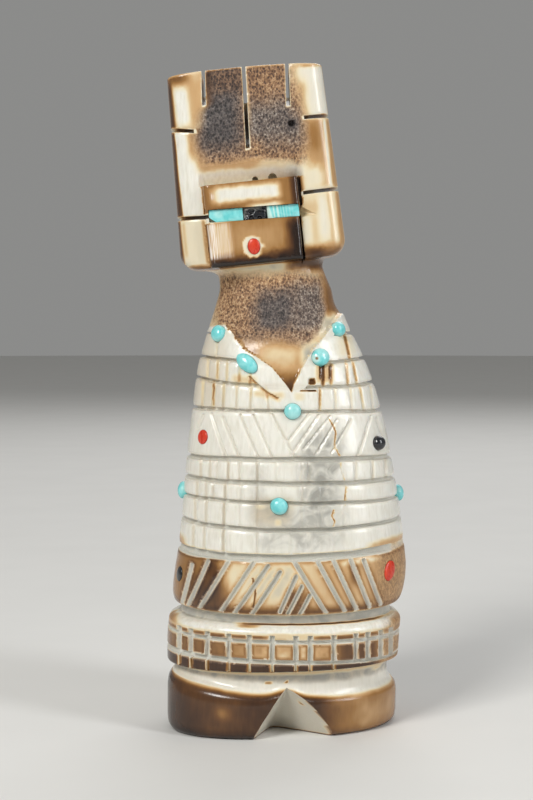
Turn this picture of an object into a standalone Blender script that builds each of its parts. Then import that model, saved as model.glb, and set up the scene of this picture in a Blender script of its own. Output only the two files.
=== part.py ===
"""A small maiden fetish carved from one length of antler, with turquoise, coral and jet let into it.

Metres, +Z up, the face towards -Y, the origin in the middle of the underside. The free form is drawn in
units of one seventy-fourth of the figure's height. Saw cuts, grooves and stones have sizes of their own.
"""

import math

import bmesh
import bpy
import numpy as np
from mathutils import Vector

# Driving dimensions of the figure, in metres
FIGURE_HEIGHT = 0.074
HEAD_LEAN = math.radians(6.0)

# Cuts across and down the dress, in metres
GROOVE_WIDTH = 0.00055
GROOVE_DEPTH = 0.00048
NOTCH_WIDTH = 0.00042
NOTCH_DEPTH = 0.00030
DIAGONAL_WIDTH = 0.00040
DIAGONAL_DEPTH = 0.00028
BELT_CUT_WIDTH = 0.00052
BELT_CUT_DEPTH = 0.00045
LAPEL_CUT_WIDTH = 0.00036
LAPEL_CUT_DEPTH = 0.00035
DRESS_STEP = 0.00050

# Saw wheel that slots the tablet, in metres
WHEEL_RADIUS = 0.0110
WHEEL_WIDTH = 0.00042

# Stones, in metres
STONE_SEAT = 0.00050
DOME_HEIGHT = 0.00072
DOT_HEIGHT = 0.00022
BEAD_HEIGHT = 0.00085
BAR_HEIGHT = 0.00138
BAR_THICKNESS = 0.00080
BAR_CORNER = 0.00012
JOINT_BETWEEN_BARS = 0.00006
INLAY_GAP = 0.00008
SEAT_GAP = 0.00030

UNIT = FIGURE_HEIGHT / 74.0
OUTSIDE = 0.0012

# Body from the sole to the chin: level, half width, depth to the front, depth to the back, shift to the right
BODY_FORM = np.array((
    (0.0, 12.90, 9.0, 9.2, 0.05),
    (5.0, 12.95, 9.3, 9.4, 0.06),
    (10.0, 13.08, 9.7, 9.6, 0.14),
    (14.0, 13.08, 9.8, 9.6, 0.58),
    (17.0, 13.02, 9.8, 9.5, 0.93),
    (21.0, 12.59, 9.5, 9.2, 1.03),
    (24.5, 12.24, 9.2, 8.9, 1.02),
    (29.5, 11.65, 8.8, 8.5, 0.80),
    (35.0, 10.78, 8.2, 8.0, 0.58),
    (40.4, 9.36, 7.5, 7.3, 0.05),
    (43.0, 8.45, 6.8, 6.8, -0.20),
    (45.4, 7.65, 6.0, 6.2, -0.64),
    (48.0, 6.60, 4.9, 5.4, -0.90),
    (49.8, 5.98, 4.6, 5.0, -1.08),
    (51.0, 5.80, 4.5, 4.9, -1.33),
))
BODY_ROUNDNESS = 2.3
# The left moccasin is set forward: how far for each unit to the left, and the level where that ends
FEET_SKEW = 0.16
FEET_SKEW_TOP = 9.0
NECK_LEAN_FROM = 46.0
NECK_LEVELS = (47.2, 48.9, 50.7)

# Upper edge of the moccasins, lower edge of the belt and its lower groove: height at the left side, at the front
# and at the right side
LINES_BELOW = (
    (6.4, 4.7, 4.9),
    (7.2, 7.35, 7.7),
    (9.0, 8.5, 8.15),
)
# Grooves round the figure, likewise
GROOVES = (
    (11.0, 10.7, 10.65),
    (13.45, 13.1, 13.55),
    (20.0, 19.75, 20.6),
    (23.3, 22.7, 23.4),
    (25.9, 25.6, 25.6),
    (28.0, 27.7, 27.8),
    (30.2, 30.3, 30.2),
    (35.6, 35.5, 35.3),
    (39.0, 38.1, 38.4),
    (41.4, 40.7, 41.1),
    (44.0, 43.7, 43.9),
)
BELT_GROOVE_LOW = LINES_BELOW[2][1]
BELT_GROOVE_HIGH = GROOVES[0][1]
DRESS_GROOVES = tuple(line[1] for line in GROOVES[2:])
DRESS_TOP = (44.5, 45.5, 46.1)

# Rounded lips and hollows below the hem: level and how far in
FOOT_LIP = ((0.0, 0.70), (0.55, 0.0), (3.7, 0.0), (4.5, 0.32))
ANKLE_COVE = ((5.0, 0.80), (6.5, 1.0))
BELT_EDGE = ((7.4, 0.0),)
ROLL_ABOVE_BELT = ((11.85, 0.08), (12.5, 0.45))
WAIST_CUT = ((12.9, 1.3), (13.3, 1.3))
HEM_EDGE = ((13.7, 0.42), (14.7, 0.0), (17.2, -0.05))

# Cut between the feet
NOTCH_APEX = (0.45, 5.6)
NOTCH_HEEL = (-1.2, -2.8)
NOTCH_LEFT_TOE = (-2.8, -7.5)
NOTCH_RIGHT_TOE = (4.9, -6.8)
NOTCH_REACH = 2.6

# Neckline: the V's two edges and the outer edges of its lapels, as x and height
NECKLINE_LEFT = ((0.95, 37.6), (-1.3, 40.2), (-4.3, 42.0), (-6.0, 44.8), (-6.9, 46.5))
NECKLINE_RIGHT = ((1.10, 37.6), (2.0, 39.4), (3.0, 41.6), (4.7, 43.6), (6.0, 46.5))
LAPEL_LEFT = ((1.2, 36.65), (-0.2, 36.75), (-1.7, 37.5), (-3.0, 38.55), (-4.8, 40.0))
LAPEL_RIGHT = ((1.35, 36.75), (2.9, 38.4), (3.65, 39.9), (5.1, 42.2))
NECKLINE_STEPS = 9
NECKLINE_ACROSS = 6

# Short cuts down each row of the dress: the row, counted from the hem up, and their x places on the front
ROW_NOTCHES = (
    (0, (-9.85, -8.6, -6.5, -2.85)),
    (1, (-9.65, -8.4, -6.4, -4.75, -2.85)),
    (2, (-9.4, -8.4, -7.6, -6.3, -4.65, -2.85)),
    (3, (-9.0, -7.95, -5.95, -4.75, -2.8, 2.85, 8.0, 9.9)),
    (5, (-8.9, -7.65, -6.5, -5.1, -3.55, 4.05, 5.85, 7.65, 9.0)),
    (6, (-8.35, -7.2, -6.15, 4.4, 5.3, 7.2, 8.25)),
    (7, (7.5,)),
)
# Slanting cuts of the upper band and of the hem: x at the bottom and x at the top of each
CHEVRON_ROW = 4
CHEVRONS_LEFT = ((-6.2, -7.85), (-4.75, -6.5), (-2.7, -4.65), (-1.15, -3.25), (1.3, -1.15))
CHEVRONS_RIGHT = ((1.75, 3.9), (3.4, 5.5), (5.2, 7.5), (8.2, 9.8))
HEM_FOOT = 13.6
HEM_LEFT = ((-11.1, -9.95), (-10.4, -8.1), (-9.1, -5.7), (-6.8, -3.0), (-5.3, -1.6), (-3.4, -0.3))
HEM_RIGHT = ((4.75, 1.2), (6.8, 3.6), (8.05, 5.4), (9.5, 7.4), (10.75, 8.8))
CHEVRON_POINTS = 3
BELT_CUTS = (-11.4, -10.05, -8.2, -5.85, -3.65, -1.15, 1.4, 3.0, 5.55, 7.95, 9.3, 10.8, 12.0)
BELT_CUTS_AT_THE_BACK = 11
HEM_CUTS_AT_THE_BACK = 9
HEM_BACK_SLANT = 0.16

# Head: a slab leaning with the neck, in its own frame of u to the right and w up from its middle
HEAD_MIDDLE = (-3.12, 62.43)
HEAD_HALF_HEIGHT = 10.77
HEAD_HALF_WIDTH_TOP = 8.70
HEAD_HALF_WIDTH_BOTTOM = 9.34
HEAD_FRONT = 4.9
HEAD_BACK_TOP = 2.7
HEAD_BACK_BOTTOM = 5.2
HEAD_SQUARENESS = 6.0
HEAD_BACK_SQUARENESS = 3.4
CORNER_LEFT = 2.0
CORNER_RIGHT = 2.0
CORNER_BOTTOM = 0.5
CORNER_TOP = 0.25
# The top is a little domed: how far, about which u, and how wide
TOP_DOME = (0.36, -2.2, 9.6)
FACE_LEFT, FACE_RIGHT = -5.90, 4.45
FACE_TOP = -1.60
FACE_PROUD = 1.1
FACE_END_DROP = 0.9
RECESS_LEFT, RECESS_RIGHT = -5.98, 4.72
COVE_TOP = 1.0
COVE_DEPTH = 1.5
HEAD_ROWS = (
    -10.77, -10.46, -10.0, -9.2, -7.9, -6.2, -4.4, -2.2, -1.70, -1.55, -0.9, 0.1, 1.0, 6.0, 10.52, 10.77,
)
HEAD_COLUMNS = (
    -0.985, -0.93, -0.80, -0.683, -0.640, -0.592, -0.48, -0.35, -0.23, -0.115, 0.0,
    0.115, 0.23, 0.33, 0.42, 0.465, 0.497, 0.540, 0.66, 0.80, 0.93, 0.985,
)

# Eye channel and saw slots of the head, in the head's frame
EYE_LEVEL = -5.24
EYE_LEAN = -0.031
EYE_LEFT, EYE_RIGHT = -5.54, 4.42
JET_LEFT, JET_RIGHT = -1.78, 0.87
BAR_FRONT = 5.75
# Hollow that runs out from the channel to a point: u, y and w where it starts and where it ends, half sizes
OVERRUN_START = (4.45, -4.9, -5.48)
OVERRUN_END = (6.78, -4.85, -6.10)
OVERRUN_SIZE = (0.78, 0.95)
OVERRUN_RINGS = ((0.0, 1.0), (0.35, 0.50), (0.72, 0.16))
OVERRUN_SIDES = 8
TOP_SLOTS = ((-4.62, 7.3, 9.1), (-0.20, 2.0, 7.4), (4.65, 6.3, 8.0))
SIDE_SLOTS = (
    (4.80, (-6.2, -4.9), (-8.9, 1.4)),
    (4.80, (6.1, -4.9), (7.3, 3.6)),
    (-4.97, (-5.3, -4.9), (-9.0, 1.6)),
    (-3.42, (5.1, -4.9), (7.2, 4.6)),
)
DRILL_HOLES = ((-0.05, 0.33), (1.9, 0.48))
DRILL_LEVEL = -1.36
DRILL_DEPTH = 1.2
MOUTH_PLACE = (-0.95, -8.87)

# Grid of the carving
FRONT_COLUMNS = len(HEAD_COLUMNS) + 1
BACK_COLUMNS = 9
STONE_SIDES = 10
WHEEL_SIDES = 44

# Stones on the dress: name, material, x, height, width, length, tilt in degrees, how far it stands out
STONES = (
    ("neckline_turquoise_1", "turquoise", -7.1, 43.9, 0.00175, 0.00195, 10, DOME_HEIGHT),
    ("neckline_turquoise_2", "turquoise", -3.9, 40.7, 0.00170, 0.00285, 50, DOME_HEIGHT),
    ("neckline_turquoise_3", "turquoise", 4.15, 41.35, 0.00205, 0.00195, 0, DOME_HEIGHT),
    ("neckline_turquoise_4", "turquoise", 6.2, 44.4, 0.00170, 0.00170, 0, DOME_HEIGHT),
    ("neckline_turquoise_5", "turquoise", 1.08, 35.5, 0.00185, 0.00180, 0, DOME_HEIGHT),
    ("waist_turquoise_front", "turquoise", -0.4, 25.3, 0.00195, 0.00184, -25, DOME_HEIGHT),
    ("waist_turquoise_left", "turquoise", -12.0, 26.1, 0.00190, 0.00198, 0, DOME_HEIGHT),
    ("waist_turquoise_right", "turquoise", 13.9, 25.8, 0.00190, 0.00190, 0, DOME_HEIGHT),
    ("dress_coral_left", "coral", -8.8, 32.5, 0.00160, 0.00160, 0, DOT_HEIGHT),
    ("dress_jet_right", "jet", 10.55, 31.8, 0.00170, 0.00160, 0, BEAD_HEIGHT),
    ("hem_jet_left", "jet", -11.4, 17.2, 0.00160, 0.00165, 0, DOT_HEIGHT),
    ("hem_coral_right", "coral", 11.75, 17.9, 0.00165, 0.00230, -22, DOT_HEIGHT),
)
MOUTH_WIDTH = 0.00140
MOUTH_LENGTH = 0.00175

# Colour, roughness and metallic value of each material
FINISHES = {
    "antler": ((0.70, 0.58, 0.40), 0.34, 0.0),
    "turquoise": ((0.16, 0.62, 0.60), 0.22, 0.0),
    "coral": ((0.66, 0.05, 0.02), 0.28, 0.0),
    "jet": ((0.008, 0.009, 0.011), 0.16, 0.0),
}


def clear_scene():
    """Removes whatever the file holds."""
    for obj in list(bpy.data.objects):
        bpy.data.objects.remove(obj, do_unlink=True)


def finish(name):
    """The material of a name, made once."""
    found = bpy.data.materials.get(name)
    if found:
        return found
    colour, roughness, metallic = FINISHES[name]
    made = bpy.data.materials.new(name)
    made.use_nodes = True
    shader = made.node_tree.nodes["Principled BSDF"]
    shader.inputs["Base Color"].default_value = (*colour, 1.0)
    shader.inputs["Roughness"].default_value = roughness
    shader.inputs["Metallic"].default_value = metallic
    made.diffuse_color = (*colour, 1.0)
    return made


def add_object(name, points, faces, material=None):
    """An object of closed faces, turned outwards. With no material it is a cutter."""
    mesh = bpy.data.meshes.new(name)
    mesh.from_pydata([tuple(p) for p in points], [], faces)
    edit = bmesh.new()
    edit.from_mesh(mesh)
    bmesh.ops.recalc_face_normals(edit, faces=edit.faces)
    edit.to_mesh(mesh)
    edit.free()
    made = bpy.data.objects.new(name, mesh)
    bpy.context.scene.collection.objects.link(made)
    if material:
        mesh.materials.append(finish(material))
    else:
        made.hide_render = True
        made.display_type = "WIRE"
    return made


def cut(target, name, points, faces):
    """Takes the closed shape out of the target."""
    tool = add_object(name, points, faces)
    step = target.modifiers.new(name, "BOOLEAN")
    step.operation = "DIFFERENCE"
    step.solver = "EXACT"
    step.object = tool


def joined(shapes):
    """One list of points and one of faces from several closed shapes."""
    points, faces = [], []
    for some_points, some_faces in shapes:
        start = len(points)
        points.extend(some_points)
        faces.extend([tuple(start + i for i in face) for face in some_faces])
    return points, faces


def tube(rings, capped=True):
    """Faces that join rings of equally many points, one after another, with a flat cap at each end."""
    count = len(rings[0])
    points = [tuple(p) for ring in rings for p in ring]
    faces = []
    for k in range(len(rings) - 1):
        for i in range(count):
            j = (i + 1) % count
            faces.append((k * count + i, k * count + j, (k + 1) * count + j, (k + 1) * count + i))
    if capped:
        faces.append(tuple(range(count)))
        faces.append(tuple((len(rings) - 1) * count + i for i in range(count)))
    return points, faces


def smooth(places, values, at):
    """A smooth curve through the values (cubic pieces whose slopes come from the neighbours)."""
    slopes = np.gradient(values, places)
    k = np.clip(np.searchsorted(places, at) - 1, 0, len(places) - 2)
    span = places[k + 1] - places[k]
    t = np.clip((at - places[k]) / span, 0.0, 1.0)
    near = (2 * t ** 3 - 3 * t ** 2 + 1) * values[k] + (t ** 3 - 2 * t ** 2 + t) * span * slopes[k]
    far = (3 * t ** 2 - 2 * t ** 3) * values[k + 1] + (t ** 3 - t ** 2) * span * slopes[k + 1]
    return near + far


def body_form(level):
    """Half width, depth to the front, depth to the back and shift of the body at a level."""
    return [smooth(BODY_FORM[:, 0], BODY_FORM[:, k], level) for k in range(1, 5)]


def groove_rise(level, across, front):
    """How far a level line rises above its middle, at a share across the figure from -1 to 1."""
    lines = np.array(((0.0, 0.0, 0.0),) + LINES_BELOW + GROOVES + (DRESS_TOP, (52.0, 52.0, 52.0)))
    tilt = np.interp(level, lines[:, 1], (lines[:, 2] - lines[:, 0]) / 2)
    sag = np.interp(level, lines[:, 1], (lines[:, 2] + lines[:, 0]) / 2 - lines[:, 1])
    return tilt * across + sag * np.where(front, across ** 2, 1.0) * (level > 0)


def on_oval(turn, roundness):
    """X and Y shares of a squared oval at an angle. Half a turn is the left side, 1.5 is the front."""
    power = 2.0 / roundness
    x = np.sign(np.cos(turn)) * np.abs(np.cos(turn)) ** power
    y = np.sign(np.sin(turn)) * np.abs(np.sin(turn)) ** power
    return x, y


def body_point(turn, level, inset=0.0):
    """Places on the body, in metres, at angles and levels, as far inside the skin as the inset says."""
    half, front, back, shift = body_form(level)
    x, y = on_oval(turn, BODY_ROUNDNESS)
    facing = y <= 1e-9
    lean = np.clip((level - NECK_LEAN_FROM) / (NECK_LEVELS[-1] - NECK_LEAN_FROM), 0.0, 1.0)
    side = (half - inset) * x
    height = level + groove_rise(level, x, facing) + side * math.tan(HEAD_LEAN) * lean
    skew = FEET_SKEW * np.clip(1.0 - level / FEET_SKEW_TOP, 0.0, 1.0)
    deep = np.where(facing, front - inset, back - inset) * y + skew * side
    return np.stack(np.broadcast_arrays(side + shift, deep, height), axis=-1) * UNIT


def turn_at(x, level):
    """The angle whose place on the front of the body lies at x."""
    half, _, _, shift = body_form(level)
    share = float(np.clip((x - shift) / half, -1.0, 1.0))
    return 2 * math.pi - math.acos(math.copysign(abs(share) ** (BODY_ROUNDNESS / 2), share))


def body_frame(turn, level):
    """The place, the outward direction and the upward direction of the skin there."""
    small = 0.02
    place = Vector(body_point(turn, level))
    round_it = Vector(body_point(turn + small, level)) - Vector(body_point(turn - small, level))
    up = Vector(body_point(turn, level + small)) - Vector(body_point(turn, level - small))
    outward = round_it.cross(up).normalized()
    return place, outward, up.normalized()


def head_half_width(w):
    """Half the slab's width at a height in the head's frame."""
    share = (w + HEAD_HALF_HEIGHT) / (2 * HEAD_HALF_HEIGHT)
    return HEAD_HALF_WIDTH_BOTTOM + (HEAD_HALF_WIDTH_TOP - HEAD_HALF_WIDTH_BOTTOM) * share


def corner(radius, height):
    """How far a round corner of this radius draws in at a height above its lowest point."""
    left = max(radius - height, 0.0)
    return radius - math.sqrt(radius ** 2 - left ** 2)


def face_depth(u, w):
    """How far the head's front lies behind its plane: the hollow, the face block and its round ends."""
    hollow = 0.0
    if RECESS_LEFT < u < RECESS_RIGHT:
        if w > FACE_TOP:
            share = max(0.0, (COVE_TOP - w) / (COVE_TOP - FACE_TOP))
            hollow = COVE_DEPTH * share ** 1.6
        else:
            middle = (FACE_LEFT + FACE_RIGHT) / 2
            reach = min(abs(u - middle) / ((FACE_RIGHT - FACE_LEFT) / 2), 1.0)
            hollow = -FACE_PROUD + (FACE_PROUD + FACE_END_DROP) * reach ** 9
    return hollow


def head_place(u, y, w):
    """A point of the head's frame, in metres."""
    x = HEAD_MIDDLE[0] + u * math.cos(HEAD_LEAN) - w * math.sin(HEAD_LEAN)
    z = HEAD_MIDDLE[1] + u * math.sin(HEAD_LEAN) + w * math.cos(HEAD_LEAN)
    return Vector((x, y, z)) * UNIT


def top_rise(u, w):
    """How far the domed top lifts a point: a parabola across, which grows with height above the middle."""
    rise, middle, reach = TOP_DOME
    share = max(0.0, w / HEAD_HALF_HEIGHT) ** 3
    return rise * (1 - ((u - middle) / reach) ** 2) * share


def head_ring(w):
    """One ring of the head: flat front with its relief, round sides, curved back."""
    above = w + HEAD_HALF_HEIGHT
    below = HEAD_HALF_HEIGHT - w
    top_in = corner(CORNER_TOP, below)
    left = -head_half_width(w) + corner(CORNER_LEFT, above) + top_in
    right = head_half_width(w) - corner(CORNER_RIGHT, above) - top_in
    middle, half = (left + right) / 2, (right - left) / 2
    edge = corner(CORNER_BOTTOM, above) + top_in
    front = HEAD_FRONT - edge
    share = above / (2 * HEAD_HALF_HEIGHT)
    back = HEAD_BACK_BOTTOM + (HEAD_BACK_TOP - HEAD_BACK_BOTTOM) * share - edge
    places = [(left, 0.0)]
    for along in HEAD_COLUMNS:
        u = middle + half * along
        y = -front * (1 - abs(along) ** HEAD_SQUARENESS) ** (1 / HEAD_SQUARENESS)
        places.append((u, y + face_depth(u, w)))
    for k in range(BACK_COLUMNS):
        x, y = on_oval(math.pi * k / BACK_COLUMNS, HEAD_BACK_SQUARENESS)
        places.append((middle + half * float(x), back * float(y)))
    return [head_place(u, y, w + top_rise(u, w)) for u, y in places]


def body_turns():
    """The angles of the body's columns, from the left side by the front and round the back."""
    front = np.linspace(math.pi, 2 * math.pi, FRONT_COLUMNS, endpoint=False)
    back = np.linspace(2 * math.pi, 3 * math.pi, BACK_COLUMNS, endpoint=False)
    return np.concatenate((front, back))


def body_rows():
    """Levels of the body's rings and how far in each lies, in units, from the sole up."""
    deep, half = GROOVE_DEPTH / UNIT, GROOVE_WIDTH / UNIT / 2
    rows = list(FOOT_LIP + ANKLE_COVE + BELT_EDGE)
    for level in (BELT_GROOVE_LOW, BELT_GROOVE_HIGH):
        rows += [(level - half, 0.0), (level, deep), (level + half, 0.0)]
    rows += ROLL_ABOVE_BELT + WAIST_CUT + HEM_EDGE
    for level in DRESS_GROOVES:
        rows += [(level - half, 0.0), (level, deep), (level + half, 0.0)]
    step = DRESS_STEP / UNIT
    rows += [(DRESS_TOP[1] - 0.1, 0.0), (DRESS_TOP[1] + 0.15, step * 0.8)]
    rows += [(level, 0.0) for level in NECK_LEVELS]
    return rows


def carve_block():
    """The whole antler figure as one closed skin, from the flat sole to the flat top of the tablet."""
    turns = body_turns()
    rings = [[Vector(p) for p in body_point(turns, level, inset)] for level, inset in body_rows()]
    rings += [head_ring(w) for w in HEAD_ROWS]
    points, faces = tube(rings)
    block = add_object("antler_carving", points, faces, "antler")
    block.data.shade_smooth()
    block.data.set_sharp_from_angle(angle=math.radians(35.0))
    return block


def kerf(path, width, depth, flat=0.6):
    """A trough that follows a path of angles and levels over the skin. Its floor is a share of its width."""
    rings = []
    frames = [body_frame(turn, level) for turn, level in path]
    for k, (place, outward, _) in enumerate(frames):
        ahead = frames[min(k + 1, len(frames) - 1)][0] - frames[max(k - 1, 0)][0]
        across = outward.cross(ahead).normalized()
        low, high = place - outward * depth, place + outward * depth
        floor, mouth = across * (width / 2 * flat), across * (width / 2 * (2 - flat))
        ring = [low - floor, low + floor] if flat else [low]
        rings.append(ring + [high + mouth, high - mouth])
    return tube(rings)


def front_path(x_low, low, x_high, high, count):
    """Points of a straight cut on the front, from one groove up to another."""
    path = []
    for t in np.linspace(0.0, 1.0, count):
        level = low + (high - low) * float(t)
        path.append((turn_at(x_low + (x_high - x_low) * float(t), level), level))
    return path


def cut_rows(block):
    """The short upright cuts in the rows of the dress."""
    shapes = []
    for row, places in ROW_NOTCHES:
        low, high = DRESS_GROOVES[row:row + 2]
        for x in places:
            shapes.append(kerf(front_path(x, low, x, high, 2), NOTCH_WIDTH, NOTCH_DEPTH, 0))
    cut(block, "cutter_row_notches", *joined(shapes))


def cut_slants(block):
    """The chevrons of the upper band and of the hem, each side as one cutter."""
    chevrons, hem = DRESS_GROOVES[CHEVRON_ROW:CHEVRON_ROW + 2], (HEM_FOOT, DRESS_GROOVES[0])
    bands = (("chevrons_left", chevrons, CHEVRONS_LEFT, 0), ("chevrons_right", chevrons, CHEVRONS_RIGHT, 0),
             ("hem_left", hem, HEM_LEFT, 0.6), ("hem_right", hem, HEM_RIGHT, 0.6))
    for name, (low, high), lines, flat in bands:
        paths = [front_path(a, low, b, high, CHEVRON_POINTS) for a, b in lines]
        shapes = [kerf(path, DIAGONAL_WIDTH, DIAGONAL_DEPTH, flat) for path in paths]
        cut(block, "cutter_" + name, *joined(shapes))


def cut_back(block):
    """Plainer slanting cuts round the back of the hem."""
    shapes = []
    for k in range(HEM_CUTS_AT_THE_BACK):
        turn = math.pi * (k + 0.5) / HEM_CUTS_AT_THE_BACK
        low, high = HEM_FOOT, DRESS_GROOVES[0]
        path = [(turn - HEM_BACK_SLANT / 2, low), (turn, (low + high) / 2), (turn + HEM_BACK_SLANT / 2, high)]
        shapes.append(kerf(path, DIAGONAL_WIDTH, DIAGONAL_DEPTH, 0))
    cut(block, "cutter_hem_back", *joined(shapes))


def cut_belt(block):
    """The upright cuts of the belt, from its lower edge to just above its upper groove."""
    low, high = BELT_EDGE[0][0] - 0.3, BELT_GROOVE_HIGH + 0.6
    front = [turn_at(x, BELT_GROOVE_HIGH) for x in BELT_CUTS]
    back = [math.pi * (k + 0.5) / BELT_CUTS_AT_THE_BACK for k in range(BELT_CUTS_AT_THE_BACK)]
    shapes = [kerf([(turn, low), (turn, high)], BELT_CUT_WIDTH, BELT_CUT_DEPTH) for turn in front]
    shapes += [kerf([(turn, low), (turn, high)], BELT_CUT_WIDTH, BELT_CUT_DEPTH, 0) for turn in back]
    cut(block, "cutter_belt", *joined(shapes))


def cut_feet(block):
    """The fan-shaped cut between the moccasins: two walls that meet along a crease."""
    heel = Vector((NOTCH_HEEL[0], NOTCH_HEEL[1], 0.0))
    left = heel + (Vector((*NOTCH_LEFT_TOE, 0.0)) - heel) * NOTCH_REACH
    right = heel + (Vector((*NOTCH_RIGHT_TOE, 0.0)) - heel) * NOTCH_REACH
    turn = turn_at(NOTCH_APEX[0], NOTCH_APEX[1])
    apex = Vector(body_point(turn, NOTCH_APEX[1], ANKLE_COVE[0][1])) / UNIT
    points = [apex, heel, left, right]
    below = [p + (p - apex) * 0.1 for p in points[1:]]
    points = [tuple(p * UNIT) for p in [apex] + below]
    cut(block, "cutter_feet", points, [(0, 2, 1), (0, 1, 3), (0, 3, 2), (1, 2, 3)])


def cut_neckline(block):
    """Sinks the V of the neckline by the thickness of the dress. The floor follows the body."""
    left, right = np.array(NECKLINE_LEFT), np.array(NECKLINE_RIGHT)
    levels = np.linspace(left[0, 1], left[-1, 1], NECKLINE_STEPS)
    step = DRESS_STEP / UNIT
    inner, outer = [], []
    for level in levels:
        sink = step if level < DRESS_TOP[1] else -step
        ends = [float(np.interp(level, side[:, 1], side[:, 0])) for side in (left, right)]
        turns = [turn_at(float(x), level) for x in np.linspace(ends[0], ends[1], NECKLINE_ACROSS)]
        inner.append([tuple(body_point(turn, level, sink)) for turn in turns])
        outer.append([tuple(body_point(turn, level, -OUTSIDE / UNIT)) for turn in turns])
    rings = [low + high[::-1] for low, high in zip(inner, outer)]
    cut(block, "cutter_neckline", *tube(rings))


def cut_lapels(block):
    """The stained cuts along the outer edges of the lapels."""
    for name, line in (("left", LAPEL_LEFT), ("right", LAPEL_RIGHT)):
        path = [(turn_at(x, level), level) for x, level in line]
        cut(block, "cutter_lapel_" + name, *kerf(path, LAPEL_CUT_WIDTH, LAPEL_CUT_DEPTH))


def wheel_middle(near, far, outward):
    """The middle of a wheel whose rim passes through two points, on the side that outward points to."""
    near, far, outward = np.array(near), np.array(far), np.array(outward)
    chord = far - near
    radius = WHEEL_RADIUS / UNIT
    rise = math.sqrt(max(radius ** 2 - float(chord @ chord) / 4, 0.0))
    square = np.array((-chord[1], chord[0])) / math.hypot(*chord)
    if square @ outward < 0:
        square = -square
    return (near + far) / 2 + square * rise


def wheel(place, middle, width, upright):
    """A saw wheel in the head: upright ones stand square to u, the others square to w."""
    rings = []
    for side in (-width / 2, width / 2):
        ring = []
        for k in range(WHEEL_SIDES):
            turn = 2 * math.pi * k / WHEEL_SIDES
            first = middle[0] + WHEEL_RADIUS / UNIT * math.cos(turn)
            second = middle[1] + WHEEL_RADIUS / UNIT * math.sin(turn)
            flat = place + side / UNIT
            ring.append(head_place(flat, first, second) if upright else head_place(first, second, flat))
        rings.append(ring)
    return tube(rings)


def cut_slots(block):
    """The wheel cuts of the tablet: three from above and four from the sides."""
    for k, (u, front_tip, back_tip) in enumerate(TOP_SLOTS):
        middle = wheel_middle((-HEAD_FRONT, front_tip), (HEAD_BACK_TOP, back_tip), (0.0, 1.0))
        cut(block, f"cutter_top_slot_{k + 1}", *wheel(u, middle, WHEEL_WIDTH, True))
    for k, (w, front, back) in enumerate(SIDE_SLOTS):
        middle = wheel_middle(front, back, (front[0], 0.0))
        cut(block, f"cutter_side_slot_{k + 1}", *wheel(w, middle, WHEEL_WIDTH, False))


def overrun_shape():
    """The hollow beside the eye channel: ovals that shrink along a line to a point."""
    points = []
    for along, size in OVERRUN_RINGS:
        u, y, w = (a + (b - a) * along for a, b in zip(OVERRUN_START, OVERRUN_END))
        for k in range(OVERRUN_SIDES):
            turn = 2 * math.pi * k / OVERRUN_SIDES
            deep = y + OVERRUN_SIZE[1] * size * math.sin(turn)
            points.append(head_place(u, deep, w + OVERRUN_SIZE[0] * size * math.cos(turn)))
    rings = [points[k:k + OVERRUN_SIDES] for k in range(0, len(points), OVERRUN_SIDES)]
    points, faces = tube(rings)
    last = faces.pop()
    points.append(tuple(head_place(*OVERRUN_END)))
    faces += [(near, far, len(points) - 1) for near, far in zip(last, last[1:] + last[:1])]
    return points, faces


def box_shape(low, high):
    """A box in the head's frame between two corners of u, y and w, which leans with the eye channel."""
    ring = ((low[0], low[2]), (high[0], low[2]), (high[0], high[2]), (low[0], high[2]))
    return tube([[head_place(u, y, w + EYE_LEAN * u) for u, w in ring] for y in (low[1], high[1])])


def cut_face(block):
    """The eye channel, the hollow at its right end and the two drill holes above the forehead."""
    tall = (BAR_HEIGHT / 2 + INLAY_GAP) / UNIT
    deep = BAR_FRONT - (BAR_THICKNESS + SEAT_GAP) / UNIT
    side = INLAY_GAP / UNIT
    low = (EYE_LEFT - side, -BAR_FRONT - OUTSIDE / UNIT, EYE_LEVEL - tall)
    high = (EYE_RIGHT + side, -deep, EYE_LEVEL + tall)
    cut(block, "cutter_eye_channel", *box_shape(low, high))
    cut(block, "cutter_eye_end", *overrun_shape())
    shapes = []
    for u, radius in DRILL_HOLES:
        rings = []
        for y in (-HEAD_FRONT, -HEAD_FRONT + COVE_DEPTH + DRILL_DEPTH):
            turns = [2 * math.pi * k / STONE_SIDES for k in range(STONE_SIDES)]
            rings.append([head_place(u + radius * math.cos(t), y, DRILL_LEVEL + radius * math.sin(t))
                          for t in turns])
        shapes.append(tube(rings))
    cut(block, "cutter_drill_holes", *joined(shapes))


def oval_ring(frame, width, length, rise):
    """A ring of points of an oval that lies square to the outward direction."""
    place, outward, across, up = frame
    turns = [2 * math.pi * (k + 0.5) / STONE_SIDES for k in range(STONE_SIDES)]
    return [place + outward * rise + across * (width / 2 * math.cos(t)) + up * (length / 2 * math.sin(t))
            for t in turns]


def stone_frame(place, outward, up, tilt):
    """The stone's place and its three directions, turned by the tilt."""
    across = up.cross(outward).normalized()
    up = outward.cross(across).normalized()
    c, s = math.cos(math.radians(tilt)), math.sin(math.radians(tilt))
    return place, outward, across * c + up * s, up * c - across * s


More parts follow.
